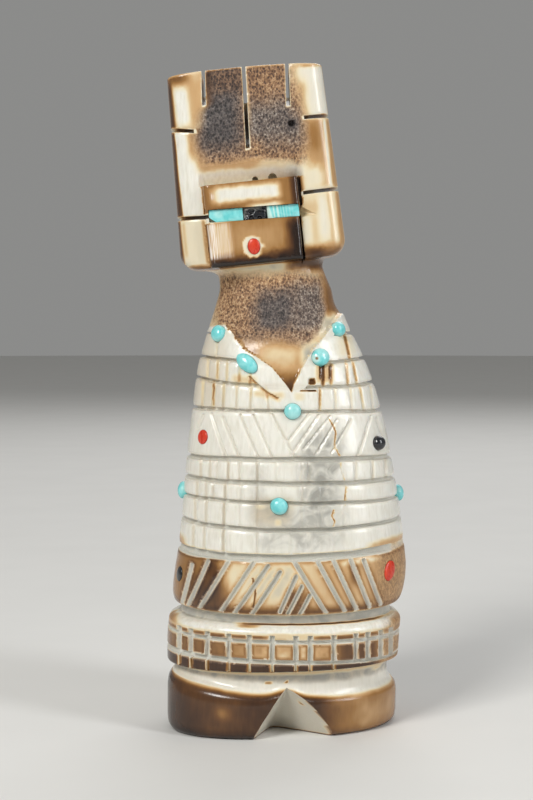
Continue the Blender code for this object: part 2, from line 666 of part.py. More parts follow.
def set_stone(block, name, material, frame, width, length, rise):
    """Cuts a pocket and sets a domed stone in it, clear of the floor and of the wall."""
    pocket = [oval_ring(frame, width + 2 * INLAY_GAP, length + 2 * INLAY_GAP, height)
              for height in (-STONE_SEAT - SEAT_GAP, OUTSIDE)]
    cut(block, "cutter_" + name, *tube(pocket))
    rings = [oval_ring(frame, width, length, -STONE_SEAT), oval_ring(frame, width, length, rise * 0.15)]
    for share in (0.82, 0.45):
        height = rise * (0.15 + 0.85 * math.sqrt(1 - share ** 2))
        rings.append(oval_ring(frame, width * share, length * share, height))
    points, faces = tube(rings, capped=False)
    place, outward = frame[0], frame[1]
    last = len(points) - STONE_SIDES
    points += [tuple(place - outward * STONE_SEAT), tuple(place + outward * rise)]
    for k in range(STONE_SIDES):
        following = (k + 1) % STONE_SIDES
        faces.append((k, following, len(points) - 2))
        faces.append((last + k, last + following, len(points) - 1))
    stone = add_object(name, points, faces, material)
    stone.data.shade_smooth()
    stone.data.set_sharp_from_angle(angle=math.radians(50.0))


def set_bar(name, material, left, right):
    """A flat bar of stone in the eye channel, with its edges eased."""
    gap = JOINT_BETWEEN_BARS / UNIT / 2
    tall = BAR_HEIGHT / UNIT / 2
    low = (left + gap, -BAR_FRONT, EYE_LEVEL - tall)
    high = (right - gap, -BAR_FRONT + BAR_THICKNESS / UNIT, EYE_LEVEL + tall)
    bar = add_object(name, *box_shape(low, high), material)
    ease = bar.modifiers.new("eased edges", "BEVEL")
    ease.width = BAR_CORNER
    ease.segments = 1
    bar.data.shade_flat()


def set_stones(block):
    """All the stones: on the dress, in the eye channel and at the mouth."""
    for name, material, x, height, width, length, tilt, rise in STONES:
        level = height
        for _ in range(3):
            turn = turn_at(x, level)
            level += height - float(body_point(turn, level)[2]) / UNIT
        place, outward, up = body_frame(turn, level)
        set_stone(block, name, material, stone_frame(place, outward, up, tilt), width, length, rise)
    place = head_place(MOUTH_PLACE[0], -HEAD_FRONT + face_depth(*MOUTH_PLACE), MOUTH_PLACE[1])
    up = Vector((-math.sin(HEAD_LEAN), 0.0, math.cos(HEAD_LEAN)))
    mouth = stone_frame(place, Vector((0.0, -1.0, 0.0)), up, 0)
    set_stone(block, "mouth_coral", "coral", mouth, MOUTH_WIDTH, MOUTH_LENGTH, DOT_HEIGHT)
    set_bar("face_left_turquoise", "turquoise", EYE_LEFT, JET_LEFT)
    set_bar("face_centre_jet", "jet", JET_LEFT, JET_RIGHT)
    set_bar("face_right_turquoise", "turquoise", JET_RIGHT, EYE_RIGHT)


def main():
    """Builds the figure and its stones."""
    clear_scene()
    block = carve_block()
    cut_neckline(block)
    cut_lapels(block)
    cut_rows(block)
    cut_slants(block)
    cut_back(block)
    cut_belt(block)
    cut_feet(block)
    cut_slots(block)
    cut_face(block)
    set_stones(block)


main()
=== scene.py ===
"""The looks of a small maiden fetish carved from antler, with turquoise, coral and jet let into it.

The free form is drawn in units of one seventy-fourth of the figure's height, which is a millimetre at its
real size. Saw cuts, grooves, pores and stones have their own sizes in millimetres. The face looks to -Y.
"""

import math

import bpy
import numpy as np
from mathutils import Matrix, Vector


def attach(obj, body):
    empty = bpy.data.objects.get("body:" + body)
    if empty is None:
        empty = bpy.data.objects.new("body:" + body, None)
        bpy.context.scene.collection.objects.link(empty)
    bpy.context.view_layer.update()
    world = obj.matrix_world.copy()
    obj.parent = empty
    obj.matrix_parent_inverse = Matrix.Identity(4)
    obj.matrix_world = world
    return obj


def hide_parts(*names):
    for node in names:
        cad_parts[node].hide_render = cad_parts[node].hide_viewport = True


bl_info = {
    "name": "Antler maiden",
    "version": (1, 0, 0),
    "blender": (4, 5, 0),
    "location": "View3D > Sidebar > Maiden",
    "description": "Carves a maiden fetish from antler, sets its stones and lights it",
    "category": "Add Mesh",
}

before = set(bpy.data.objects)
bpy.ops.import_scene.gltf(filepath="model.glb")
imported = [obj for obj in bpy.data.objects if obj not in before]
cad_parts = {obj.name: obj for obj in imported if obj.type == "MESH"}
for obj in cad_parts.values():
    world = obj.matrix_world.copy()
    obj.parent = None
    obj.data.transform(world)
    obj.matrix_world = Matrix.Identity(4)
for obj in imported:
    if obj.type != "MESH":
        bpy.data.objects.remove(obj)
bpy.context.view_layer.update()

FIGURE_HEIGHT = 0.074
UNIT = FIGURE_HEIGHT / 74.0
MM = 0.001 / UNIT
HEAD_LEAN = math.radians(6.0)

# Body from the sole to the chin: level, half width, depth to the front, depth to the back, shift to the right
BODY_FORM = np.array((
    (0.0, 12.90, 9.0, 9.2, 0.05),
    (5.0, 12.95, 9.3, 9.4, 0.06),
    (10.0, 13.08, 9.7, 9.6, 0.14),
    (14.0, 13.08, 9.8, 9.6, 0.58),
    (17.0, 13.02, 9.8, 9.5, 0.93),
    (21.0, 12.59, 9.5, 9.2, 1.03),
    (24.5, 12.24, 9.2, 8.9, 1.02),
    (29.5, 11.65, 8.8, 8.5, 0.80),
    (35.0, 10.78, 8.2, 8.0, 0.58),
    (40.4, 9.36, 7.5, 7.3, 0.05),
    (43.0, 8.45, 6.8, 6.8, -0.20),
    (45.4, 7.65, 6.0, 6.2, -0.64),
    (48.0, 6.60, 4.9, 5.4, -0.90),
    (49.8, 5.98, 4.6, 5.0, -1.08),
    (51.0, 5.80, 4.5, 4.9, -1.33),
))
BODY_ROUNDNESS = 2.3
FEET_SKEW = 0.16
FEET_SKEW_TOP = 9.0
NECK_LEAN_FROM = 46.0
NECK_TOP = 50.7

# Level lines round the figure: height at the left side, at the front and at the right side
LEVEL_LINES = np.array((
    (0.0, 0.0, 0.0),
    (6.4, 4.7, 4.9),
    (7.2, 7.35, 7.7),
    (9.0, 8.5, 8.15),
    (11.0, 10.7, 10.65),
    (13.45, 13.1, 13.55),
    (20.0, 19.75, 20.6),
    (23.3, 22.7, 23.4),
    (25.9, 25.6, 25.6),
    (28.0, 27.7, 27.8),
    (30.2, 30.3, 30.2),
    (35.6, 35.5, 35.3),
    (39.0, 38.1, 38.4),
    (41.4, 40.7, 41.1),
    (44.0, 43.7, 43.9),
    (44.5, 45.5, 46.1),
    (52.0, 52.0, 52.0),
))
DRESS_TOP = 45.5
DRESS_STEP = 0.50 * MM

# Grooves sawn round the dress: level, width and depth in millimetres, share of fresh grey in the floor
GROOVES = (
    (8.50, 0.50, 0.44, 0.80),
    (10.70, 0.46, 0.40, 0.75),
    (19.75, 0.82, 0.52, 0.90),
    (22.70, 0.52, 0.50, 0.65),
    (25.60, 0.46, 0.48, 0.45),
    (27.70, 0.58, 0.50, 0.55),
    (30.30, 0.62, 0.50, 0.60),
    (35.50, 0.46, 0.54, 0.15),
    (38.10, 0.44, 0.52, 0.20),
    (40.70, 0.46, 0.54, 0.20),
    (43.70, 0.40, 0.50, 0.10),
)
# How far each groove strays up and down
GROOVE_STRAY = 0.035

# How far in the skin lies below the dress rows: level and inset
GIRTH = np.array((
    (0.0, 0.70), (0.22, 0.32), (0.6, 0.08), (1.3, 0.0), (3.3, 0.0), (4.0, 0.10), (4.4, 0.38), (4.75, 0.78),
    (5.3, 1.08), (6.3, 1.16), (6.9, 1.02), (7.3, 0.72), (7.42, 0.14), (7.58, 0.0), (11.6, 0.0), (11.9, 0.12),
    (12.1, 0.34), (12.28, 0.72), (12.42, 1.14), (12.55, 1.34), (13.25, 1.34), (13.42, 0.85), (13.6, 0.46),
    (14.1, 0.20), (14.8, 0.05), (16.0, -0.03), (17.4, -0.04), (18.4, 0.0), (52.0, 0.0),
))
# The moccasins' upper edge rises to the cut between them: how far, about which x, and how wide
INSTEP_RISE = (0.70, 0.45, 1.7)
# The edges of the dress rows are eased over: how far in, and over what reach
ROW_EASING = 0.07
ROW_EASING_REACH = 0.22

# Rows between two grooves, by their levels, with their upright cuts: x, slant to the top, share of depth
ROW_CUTS = (
    ((19.75, 22.7), ((-9.85, 0, 1.0), (-8.59, 0, 0.9), (-6.48, 0, 1.3), (-2.84, 0, 0.5), (0.9, 0, 0.2),
                     (5.6, 0, 0.2))),
    ((22.7, 25.6), ((-9.64, 0, 1.0), (-8.38, 0, 0.9), (-6.42, 0, 1.3), (-4.74, 0, 0.35), (-2.84, 0, 0.4),
                    (2.0, 0, 0.3), (4.0, 0, 0.25), (6.6, 0, 0.2))),
    ((25.6, 27.7), ((-9.42, 0, 1.0), (-8.39, 0, 0.9), (-7.61, 0, 0.8), (-6.28, 0, 1.1), (-4.63, 0, 0.35),
                    (-2.84, 0, 0.7), (2.1, 0, 0.6), (4.2, 0, 0.35))),
    ((27.7, 30.3), ((-9.02, 0, 1.0), (-7.95, 0, 0.9), (-7.2, 0, 0.5), (-5.95, 0, 1.1), (-4.75, 0, 0.6),
                    (-2.79, 0, 0.9), (-0.78, 0, 0.3), (1.97, 0, 0.45), (2.84, 0, 0.6), (7.99, 0, 0.7),
                    (9.93, 0, 0.9), (11.48, 0, 0.8))),
    ((35.5, 38.1), ((-8.91, 0.1, 1.0), (-7.65, 0.1, 1.3), (-6.53, 0.1, 1.0), (-5.09, 0.1, 0.7),
                    (-3.56, 0.1, 0.8), (-1.53, -0.3, 0.7), (4.07, 0, 1.2), (5.83, -0.1, 0.7),
                    (7.63, -0.2, 0.7), (9.02, -0.5, 1.1), (10.12, -0.3, 0.6))),
    ((38.1, 40.7), ((-8.35, 0.1, 0.8), (-7.21, 0.1, 1.1), (-6.15, 0.1, 0.9), (-4.77, 0.1, 0.7),
                    (-3.56, 0.1, 0.9), (4.42, 0, 1.5), (5.3, 0, 1.0), (7.22, -0.2, 1.2), (8.26, -0.5, 1.2))),
    ((40.7, 43.7), ((7.5, -0.6, 1.2), (-7.4, 0.3, 0.5))),
)
ROW_CUT_WIDTH = 0.52
ROW_CUT_DEPTH = 0.27

# Slanting cuts: x and height at the foot, x and height at the top
CHEVRON_CUTS = (
    (-6.18, 30.45, -7.86, 34.97), (-4.75, 30.45, -6.52, 34.7), (-2.68, 30.45, -4.65, 34.97),
    (-1.16, 30.45, -3.23, 34.99), (1.36, 30.45, -1.16, 35.1), (0.55, 32.3, 2.86, 35.2),
    (0.95, 30.9, 3.9, 35.1), (2.20, 31.4, 5.15, 34.95), (3.61, 30.9, 5.92, 34.6), (5.30, 31.0, 7.48, 34.6),
    (8.24, 30.7, 9.79, 34.9), (10.98, 33.17, 10.52, 34.63), (-9.47, 33.3, -8.78, 34.8),
)
CHEVRON_WIDTH = 0.44
CHEVRON_DEPTH = 0.20
HEM_CUTS = (
    (-11.09, 13.75, -9.95, 18.35), (-10.38, 13.75, -8.13, 19.05), (-9.12, 13.65, -5.71, 19.55),
    (-6.8, 13.55, -3.0, 19.55), (-5.27, 13.55, -1.6, 18.95), (-3.43, 13.45, -0.31, 18.25),
    (-0.31, 13.95, 1.41, 17.76), (0.55, 13.75, 2.06, 16.69), (1.74, 13.45, 2.92, 15.7),
    (4.76, 13.55, 1.2, 19.45), (6.78, 13.65, 3.62, 19.55), (8.04, 13.75, 5.41, 19.45),
    (9.5, 13.85, 7.38, 19.15), (10.75, 13.95, 8.82, 18.95),
)
HEM_CUT_WIDTH = 0.50
HEM_CUT_DEPTH = 0.34
# The plainer cuts round the back, and the radius at which their angles become lengths along the skin
HEM_CUTS_BEHIND = 9
HEM_SLANT_BEHIND = 0.16
HEM_LEVELS_BEHIND = (13.6, 19.7)
BELT_CUTS_BEHIND = 11
RADIUS_BEHIND = 11.0

# Belt: x of its upright cuts, which are narrower below the lower groove and stop there further right
BELT_CUTS = (-11.4, -10.07, -8.22, -5.87, -3.65, -1.17, 1.41, 2.98, 5.53, 7.95, 9.3, 10.8, 12.01)
BELT_CUT_WIDTH = 0.56
BELT_CUT_DEPTH = 0.42
BELT_FOOT = 7.45
BELT_TOP = 11.38
BELT_STUB_SHARE = 0.66
BELT_STUBS_END = 6.3
LOWER_GROOVE = GROOVES[0][0]
UPPER_GROOVE = GROOVES[1][0]

# Neckline: the V's edges, the cuts that set off its lapels and the lapels' outer edges, as x and height
NECKLINE_LEFT = np.array(((0.95, 37.55), (0.2, 38.6), (-1.27, 40.25), (-3.02, 41.35), (-4.34, 42.05),
                          (-5.23, 43.3), (-6.02, 44.75), (-6.9, 46.5)))
NECKLINE_RIGHT = np.array(((1.05, 37.55), (1.3, 38.5), (1.85, 39.5), (2.66, 41.0), (3.4, 42.2), (4.68, 43.55),
                           (5.8, 44.75), (6.8, 45.5), (7.2, 46.5)))
LAPEL_CUTS = (
    ((-0.5, 36.85), (-1.7, 37.45), (-3.0, 38.45), (-3.6, 39.0)),
    ((2.0, 37.72), (3.6, 37.76)),
)
LAPEL_CUT_WIDTH = 0.30
LAPEL_CUT_DEPTH = 0.32
LAPEL_LEFT = np.array(((1.2, 36.6), (-0.2, 36.72), (-1.7, 37.45), (-3.0, 38.5), (-4.4, 39.7), (-5.4, 41.2),
                       (-6.5, 42.6), (-7.6, 44.4), (-8.0, 46.5)))
LAPEL_RIGHT = np.array(((1.35, 36.75), (2.3, 37.7), (2.98, 38.5), (3.65, 39.9), (4.6, 41.3), (5.5, 42.8),
                        (6.3, 44.4), (7.0, 46.5)))
# Corner pieces cut out beside the right lapel: x and height of the middle, half sizes
LAPEL_CORNERS = ((3.20, 38.72, 0.42, 0.36), (4.15, 39.65, 0.20, 0.72), (5.2, 39.65, 0.20, 0.72))
CORNER_CUT_DEPTH = 0.42
# How wide the short walls at the edges of the V, the lapels and the corner pieces are
SHORT_WALL = 0.14
# Steps at the neck: levels over which the V's fades, then the same above the dress, x where it begins, share
V_FADE = (47.5, 45.6)
NECK_STEP_FADE = (48.5, 46.5)
NECK_STEP_BEGINS = (-7.4, -6.0)
NECK_STEP_SHARE = 0.8

# Fine cracks, as x and height along each
CRACKS = (
    ((5.1, 34.7), (5.8, 33.3), (5.6, 31.8), (6.35, 30.4), (6.3, 29.4), (6.9, 27.4), (6.75, 26.0),
     (6.8, 25.4)),
    ((5.5, 24.8), (5.3, 24.2), (5.65, 23.5), (5.4, 22.9)),
    ((-3.25, 17.6), (-2.95, 16.0), (-3.2, 14.5)),
)
CRACK_WIDTH = 0.16
CRACK_DEPTH = 0.12

# Head: a slab leaning with the neck, in its own frame of u to the right and w up from its middle
HEAD_MIDDLE = (-3.12, 62.43)
HEAD_HALF_HEIGHT = 10.77
HEAD_HALF_WIDTH_TOP = 8.70
HEAD_HALF_WIDTH_BOTTOM = 9.34
HEAD_FRONT = 4.9
HEAD_BACK_TOP = 2.7
HEAD_BACK_BOTTOM = 5.2
HEAD_SQUARENESS = 6.0
HEAD_BACK_SQUARENESS = 3.4
CORNER_LEFT = 2.0
CORNER_RIGHT = 2.0
CORNER_BOTTOM = 0.35
CORNER_TOP = 0.22
# The top is a little domed: how far, about which u, and how wide
TOP_DOME = (0.36, -2.2, 9.6)
FACE_LEFT = -5.95
FACE_TOP = -1.62
FACE_PROUD = 1.1
FACE_END_DROP = 0.9
FACE_ROUND_LEFT = 0.70
FACE_ROUND_RIGHT = 0.50
# Right ends of the face block and of its recess: w, u of the block, u of the recess
FACE_RIGHT_ENDS = np.array(((-11.0, 4.34, 4.50), (-6.2, 4.38, 4.56), (-4.6, 4.56, 4.86), (-1.0, 4.58, 4.90)))
RECESS_LEFT = -5.98
COVE_TOP = 1.0
COVE_DEPTH = 1.5

# Eye channel and the flat stones in it
EYE_LEVEL = -5.24
EYE_LEAN = -0.031
EYE_LEFT, EYE_RIGHT = -5.54, 4.42
JET_LEFT, JET_RIGHT = -1.78, 0.87
BAR_FRONT = 5.75
BAR_HEIGHT = 1.38
BAR_THICKNESS = 0.80
BAR_SQUARENESS = 9.0
BAR_ROUND = 0.07
BAR_GAP = 0.012
BAR_SIDES = 80
BAR_COLUMNS = 90
# Pale stripes of the right bar: u, half width and how pale
BAR_STRIPES = (
    (1.64, 0.07, 0.85), (2.06, 0.10, 0.9), (2.42, 0.03, 0.4), (2.70, 0.04, 0.55), (3.02, 0.03, 0.45),
    (3.38, 0.03, 0.4), (3.70, 0.02, 0.3),
)
# Hollow that runs out from the eye channel to a point: u, y and w at its start and at its end, half sizes
OVERRUN_START = (4.45, -4.9, -5.48)
OVERRUN_END = (6.78, -4.85, -6.10)
OVERRUN_SIZE = (0.78, 0.95)

# Saw slots of the head: the wheel, then each slot's place, its lean and where its wheel breaks out
WHEEL_RADIUS = 11.0
WHEEL_WIDTH = 0.42
WHEEL_SIDES = 120
WHEEL_RINGS = 14
TOP_SLOTS = ((-4.54, 0.080, 7.3, 9.1), (-0.05, 0.050, 2.0, 7.4), (4.77, 0.070, 6.3, 8.0))
SIDE_SLOTS = (
    (4.79, -0.19, (-6.2, -4.9), (-8.9, 1.4)),
    (4.81, 0.0, (6.1, -4.9), (7.3, 3.6)),
    (-4.97, -0.06, (-5.3, -4.9), (-9.0, 1.6)),
    (-3.42, 0.03, (5.1, -4.9), (7.2, 4.6)),
)
# How far out, to the left or right, the leans of the side slots are measured from
SIDE_SLOT_ROOT = 7.5
# The rims of the slots are eased: how wide, how deep, and over what length before a slot's end
SLOT_RIM = 0.17
SLOT_RIM_DEPTH = 0.10
SLOT_RIM_START = 0.35
# How far past half the slot's width a point still counts as on its wall
SLOT_WALL = 0.012

# Drill holes above the forehead as u and radius, a deep pore as u, w, radius and depth, and the mouth's coral
DRILL_HOLES = ((-0.05, 0.33), (1.9, 0.48))
DRILL_LEVEL = -1.38
DRILL_DEPTH = 1.2
DEEP_PORE = (4.58, 4.28, 0.42, 0.60)
MOUTH_PLACE = (-0.95, -8.87)
MOUTH_WIDTH = 1.40
MOUTH_LENGTH = 1.75

# Cut between the moccasins
NOTCH_APEX = (0.45, 5.6)
NOTCH_HEEL = (-1.2, -2.8)
NOTCH_LEFT_TOE = (-2.8, -7.5)
NOTCH_RIGHT_TOE = (4.9, -6.8)
NOTCH_REACH = 2.6

# Spongy core: size of its cells and depth of its pits in millimetres
PORE_SIZE = 0.33
PORE_DEPTH = 0.09
# Unevenness left by grinding by hand, which also keeps flat faces from being thinned to a few triangles
GROUND_UNEVEN = 0.005

# Stones on the dress: name, kind, x, height, width, length, tilt in degrees, how far it stands out
DOME = 0.72
DOT = 0.22
BEAD = 0.85
STONES = (
    ("neckline_turquoise_1", "turquoise", -7.1, 43.9, 1.75, 1.95, 10, DOME),
    ("neckline_turquoise_2", "turquoise", -3.9, 40.7, 1.70, 2.85, 50, DOME),
    ("neckline_turquoise_3", "turquoise", 4.15, 41.35, 2.05, 1.95, 0, DOME),
    ("neckline_turquoise_4", "turquoise", 6.2, 44.4, 1.70, 1.70, 0, DOME),
    ("neckline_turquoise_5", "turquoise", 1.08, 35.5, 1.85, 1.80, 0, DOME),
    ("waist_turquoise_front", "turquoise", -0.4, 25.3, 1.95, 1.84, -25, DOME),
    ("waist_turquoise_left", "turquoise", -12.0, 26.1, 1.90, 1.98, 0, DOME),
    ("waist_turquoise_right", "turquoise", 13.9, 25.8, 1.90, 1.90, 0, DOME),
    ("dress_coral_left", "coral", -8.8, 32.5, 1.60, 1.60, 0, DOT),
    ("dress_jet_right", "jet", 10.55, 31.8, 1.70, 1.60, 0, BEAD),
    ("hem_jet_left", "jet", -11.4, 17.2, 1.60, 1.65, 0, DOT),
    ("hem_coral_right", "coral", 11.75, 17.9, 1.65, 2.30, -22, DOT),
)
STONE_SEAT = 0.50
POCKET_FLOOR = 0.30
POCKET_GAP = 0.03

# Skin: its columns before and behind, its rows, and how many triangles it is thinned to
FRONT_COLUMNS = 310
BACK_COLUMNS = 90
BODY_ROWS = 440
HEAD_ROWS = 190
CAP_ROWS = 5
NECK_BLEND_ROWS = 7
MOST_TRIANGLES = 186000
# Half sizes of the ovals along which the columns are spaced evenly: to the side, the front and the back
BODY_OVAL = (11.6, 8.8, 8.5)
HEAD_OVAL = (9.0, 4.9, 4.2)
# How readily triangles are merged: weights of the plain back and of the front, and how much they count
PLAIN_BACK = 0.9
PLAIN_FRONT = 0.02
PLAIN_COUNTS = 0.05

# Stage in metres: the floor's radius and rings, what the lights aim at, and the camera
FLOOR_RADIUS = 1.6
FLOOR_RINGS = 40
FLOOR_SIDES = 96
LIGHTS_AIM = (0.0, 0.0, 0.036)
CAMERA_PLACE = (-0.00176, -0.190, 0.0463)
CAMERA_TARGET = (-0.00176, 0.0, 0.0463)
CAMERA_SHIFT = -0.11


def step(low, high, value):
    """A smooth rise from 0 at low to 1 at high (three t squared less two t cubed)."""
    t = np.clip((value - low) / (high - low), 0.0, 1.0)
    return t * t * (3.0 - 2.0 * t)


def cubic(places, values, slopes, at):
    """Cubic pieces through the values with these slopes."""
    k = np.clip(np.searchsorted(places, at) - 1, 0, len(places) - 2)
    span = places[k + 1] - places[k]
    t = np.clip((at - places[k]) / span, 0.0, 1.0)
    near = (2 * t ** 3 - 3 * t ** 2 + 1) * values[k] + (t ** 3 - 2 * t ** 2 + t) * span * slopes[k]
    far = (3 * t ** 2 - 2 * t ** 3) * values[k + 1] + (t ** 3 - t ** 2) * span * slopes[k + 1]
    return near + far


def smooth(places, values, at):
    """A smooth curve through the values, whose slopes come from the neighbours."""
    return cubic(places, values, np.gradient(values, places), at)


def eased(places, values, at):
    """A smooth curve that never swings past the values: its slopes are harmonic means, and 0 at a turn."""
    rises = np.diff(values) / np.diff(places)
    product = rises[:-1] * rises[1:]
    slopes = np.zeros(len(values))
    slopes[1:-1] = np.where(product > 0, 2 * product / (rises[:-1] + rises[1:] + (product <= 0)), 0.0)
    return cubic(places, values, slopes, at)


def trough(distance, width, depth, wall=0.11):
    """Depth of a sawn cut: flat in the middle, with walls that slope over the wall's width."""
    return depth * step(0.0, wall, width / 2 - np.abs(distance))


def lattice(cell, seed):
    """A fixed random number from 0 to 1 for each whole-numbered cell."""
    n = cell[..., 0] * 73856093 ^ cell[..., 1] * 19349663 ^ cell[..., 2] * 83492791 ^ (seed * 2654435761)
    n = (n ^ (n >> 13)) * 1274126177 & 0x7FFFFFFF
    return ((n ^ (n >> 15)) % 65521) / 65521.0


def cloud(points, size, seed):
    """Soft noise from 0 to 1: random corners of a grid of this cell size, blended smoothly between them."""
    q = points / size
    cell = np.floor(q).astype(np.int64)
    t = q - cell
    t = t * t * (3.0 - 2.0 * t)
    total = np.zeros(points.shape[:-1])
    for corner_place in np.ndindex(2, 2, 2):
        share = np.prod(np.where(corner_place, t, 1.0 - t), axis=-1)
        total += share * lattice(cell + np.array(corner_place), seed)
    return total


def nearest_pit(points, size, seed):
    """Distance to the nearest of the pits scattered one to a cell, in cell sizes."""
    q = points / size
    cell = np.floor(q).astype(np.int64)
    nearest = np.full(points.shape[:-1], 9.0)
    for offset in np.ndindex(3, 3, 3):
        other = cell + np.array(offset) - 1
        pit = other + np.stack([lattice(other, seed + k) for k in range(3)], axis=-1)
        nearest = np.minimum(nearest, np.linalg.norm(q - pit, axis=-1))
    return nearest


def body_form(level):
    """Half width, depth to the front, depth to the back and shift of the body at levels."""
    return [smooth(BODY_FORM[:, 0], BODY_FORM[:, k], level) for k in range(1, 5)]


def line_rise(level, across, front):
    """How far a level line rises above its middle, at a share across the figure from -1 to 1."""
    tilt = np.interp(level, LEVEL_LINES[:, 1], (LEVEL_LINES[:, 2] - LEVEL_LINES[:, 0]) / 2)
    sag = np.interp(level, LEVEL_LINES[:, 1], (LEVEL_LINES[:, 2] + LEVEL_LINES[:, 0]) / 2 - LEVEL_LINES[:, 1])
    return tilt * across + sag * np.where(front, across ** 2, 1.0) * (np.asarray(level) > 0)


def on_oval(turn, roundness):
    """X and Y shares of a squared oval at angles. Half a turn is the left side, 1.5 is the front."""
    power = 2.0 / roundness
    x = np.sign(np.cos(turn)) * np.abs(np.cos(turn)) ** power
    y = np.sign(np.sin(turn)) * np.abs(np.sin(turn)) ** power
    return x, y


def body_point(turn, level, inset=0.0):
    """Places on the body at angles and levels, as far inside the skin as the inset says."""
    half, front, back, shift = body_form(level)
    x, y = on_oval(turn, BODY_ROUNDNESS)
    facing = y <= 1e-9
    lean = np.clip((level - NECK_LEAN_FROM) / (NECK_TOP - NECK_LEAN_FROM), 0.0, 1.0)
    side = (half - inset) * x
    height = level + line_rise(level, x, facing) + side * math.tan(HEAD_LEAN) * lean
    skew = FEET_SKEW * np.clip(1.0 - level / FEET_SKEW_TOP, 0.0, 1.0)
    deep = np.where(facing, front - inset, back - inset) * y + skew * side
    return np.stack(np.broadcast_arrays(side + shift, deep, height), axis=-1)


def turn_at(x, level):
    """The angle whose place on the front of the body lies at x."""
    half, _, _, shift = body_form(level)
    share = float(np.clip((x - shift) / half, -1.0, 1.0))
    return 2 * math.pi - math.acos(math.copysign(abs(share) ** (BODY_ROUNDNESS / 2), share))


def head_half_width(w):
    """Half the slab's width at heights in the head's frame."""
    share = (w + HEAD_HALF_HEIGHT) / (2 * HEAD_HALF_HEIGHT)
    return HEAD_HALF_WIDTH_BOTTOM + (HEAD_HALF_WIDTH_TOP - HEAD_HALF_WIDTH_BOTTOM) * share


def corner(radius, height):
    """How far a round corner of this radius draws in at heights above its lowest point."""
    left = np.maximum(radius - height, 0.0)
    return radius - np.sqrt(np.maximum(radius ** 2 - left ** 2, 0.0))


def head_place(u, y, w):
    """Points of the head's frame in the figure's frame."""
    x = HEAD_MIDDLE[0] + u * math.cos(HEAD_LEAN) - w * math.sin(HEAD_LEAN)
    z = HEAD_MIDDLE[1] + u * math.sin(HEAD_LEAN) + w * math.cos(HEAD_LEAN)
    return np.stack(np.broadcast_arrays(x, y, z), axis=-1)


def in_head(points):
    """The u and w of points in the head's frame."""
    x = points[..., 0] - HEAD_MIDDLE[0]
    z = points[..., 2] - HEAD_MIDDLE[1]
    u = x * math.cos(HEAD_LEAN) + z * math.sin(HEAD_LEAN)
    w = z * math.cos(HEAD_LEAN) - x * math.sin(HEAD_LEAN)
    return u, w


def in_body(points):
    """Level and share across of points on the body, found again from their places by four corrections."""
    level = points[..., 2].copy()
    facing = points[..., 1] <= 0.0
    for _ in range(4):
        half, _, _, shift = body_form(np.clip(level, 0.0, BODY_FORM[-1, 0]))
        across = np.clip((points[..., 0] - shift) / half, -1.0, 1.0)
        level = points[..., 2] - line_rise(level, across, facing)
    return level, across


def top_rise(u, w):
    """How far the domed top lifts a point: a parabola across, which grows with height above the middle."""
    rise, middle, reach = TOP_DOME
    return rise * (1.0 - ((u - middle) / reach) ** 2) * np.clip(w / HEAD_HALF_HEIGHT, 0.0, 1.0) ** 3


def spongy_on_head(u, w):
    """Where the antler's spongy core shows on the tablet, from 0 to 1."""
    left = np.interp(w, (-0.4, 0.7, 3.7, 6.6, 7.6, 10.8), (-5.4, -6.5, -7.3, -6.2, -5.2, -4.8))
    right = np.interp(w, (-0.4, 2.3, 5.5, 7.9, 8.9, 10.8), (6.2, 7.0, 6.8, 6.6, 6.3, 6.0))
    low = np.interp(u, (-5.5, -0.5, 3.0, 5.2), (0.55, 0.75, 0.25, -0.35))
    return step(0.0, 2.0, u - left) * step(0.0, 1.7, right - u) * step(-0.45, 0.6, w - low)


def spongy_on_neck(x, level, facing):
    """Where the spongy core shows between the dress and the chin, from 0 to 1."""
    left = np.interp(level, (41.2, 42.6, 44.5, 46.5, 50.0), (-3.6, -5.1, -7.9, -8.6, -8.2))
    right = np.interp(level, (41.2, 42.6, 44.5, 46.5, 50.0), (2.2, 3.1, 4.9, 5.4, 5.0))
    low = 42.3 - 0.04 * (x + 1.0) ** 2
    high = np.interp(x, (-6.5, -3.0, 1.0, 4.0), (51.3, 51.0, 51.3, 50.9))
    inside = step(0.0, 1.6, x - left) * step(0.0, 1.0, right - x)
    return inside * step(0.0, 1.7, level - low) * step(0.0, 1.3, high - level) * facing


def slot_nearness(u, w):
    """How near the tablet's front is to a saw slot's edge, from 0 to 1, so that the rims can be eased."""
    half = WHEEL_WIDTH / 2
    near = np.zeros(np.broadcast(u, w).shape)
    for place, lean, tip, _ in TOP_SLOTS:
        aside = np.abs(u - (place + lean * (w - HEAD_HALF_HEIGHT)))
        along = step(-SLOT_RIM_START, 0.0, w - tip)
        near = np.maximum(near, along * (1.0 - step(half, half + SLOT_RIM, aside)))
    for place, lean, tip, _ in SIDE_SLOTS:
        way = math.copysign(1.0, tip[0])
        aside = np.abs(w - (place + lean * (u - SIDE_SLOT_ROOT * way)))
        along = step(-SLOT_RIM_START, 0.0, (u - tip[0]) * way)
        near = np.maximum(near, along * (1.0 - step(half, half + SLOT_RIM, aside)))
    return near


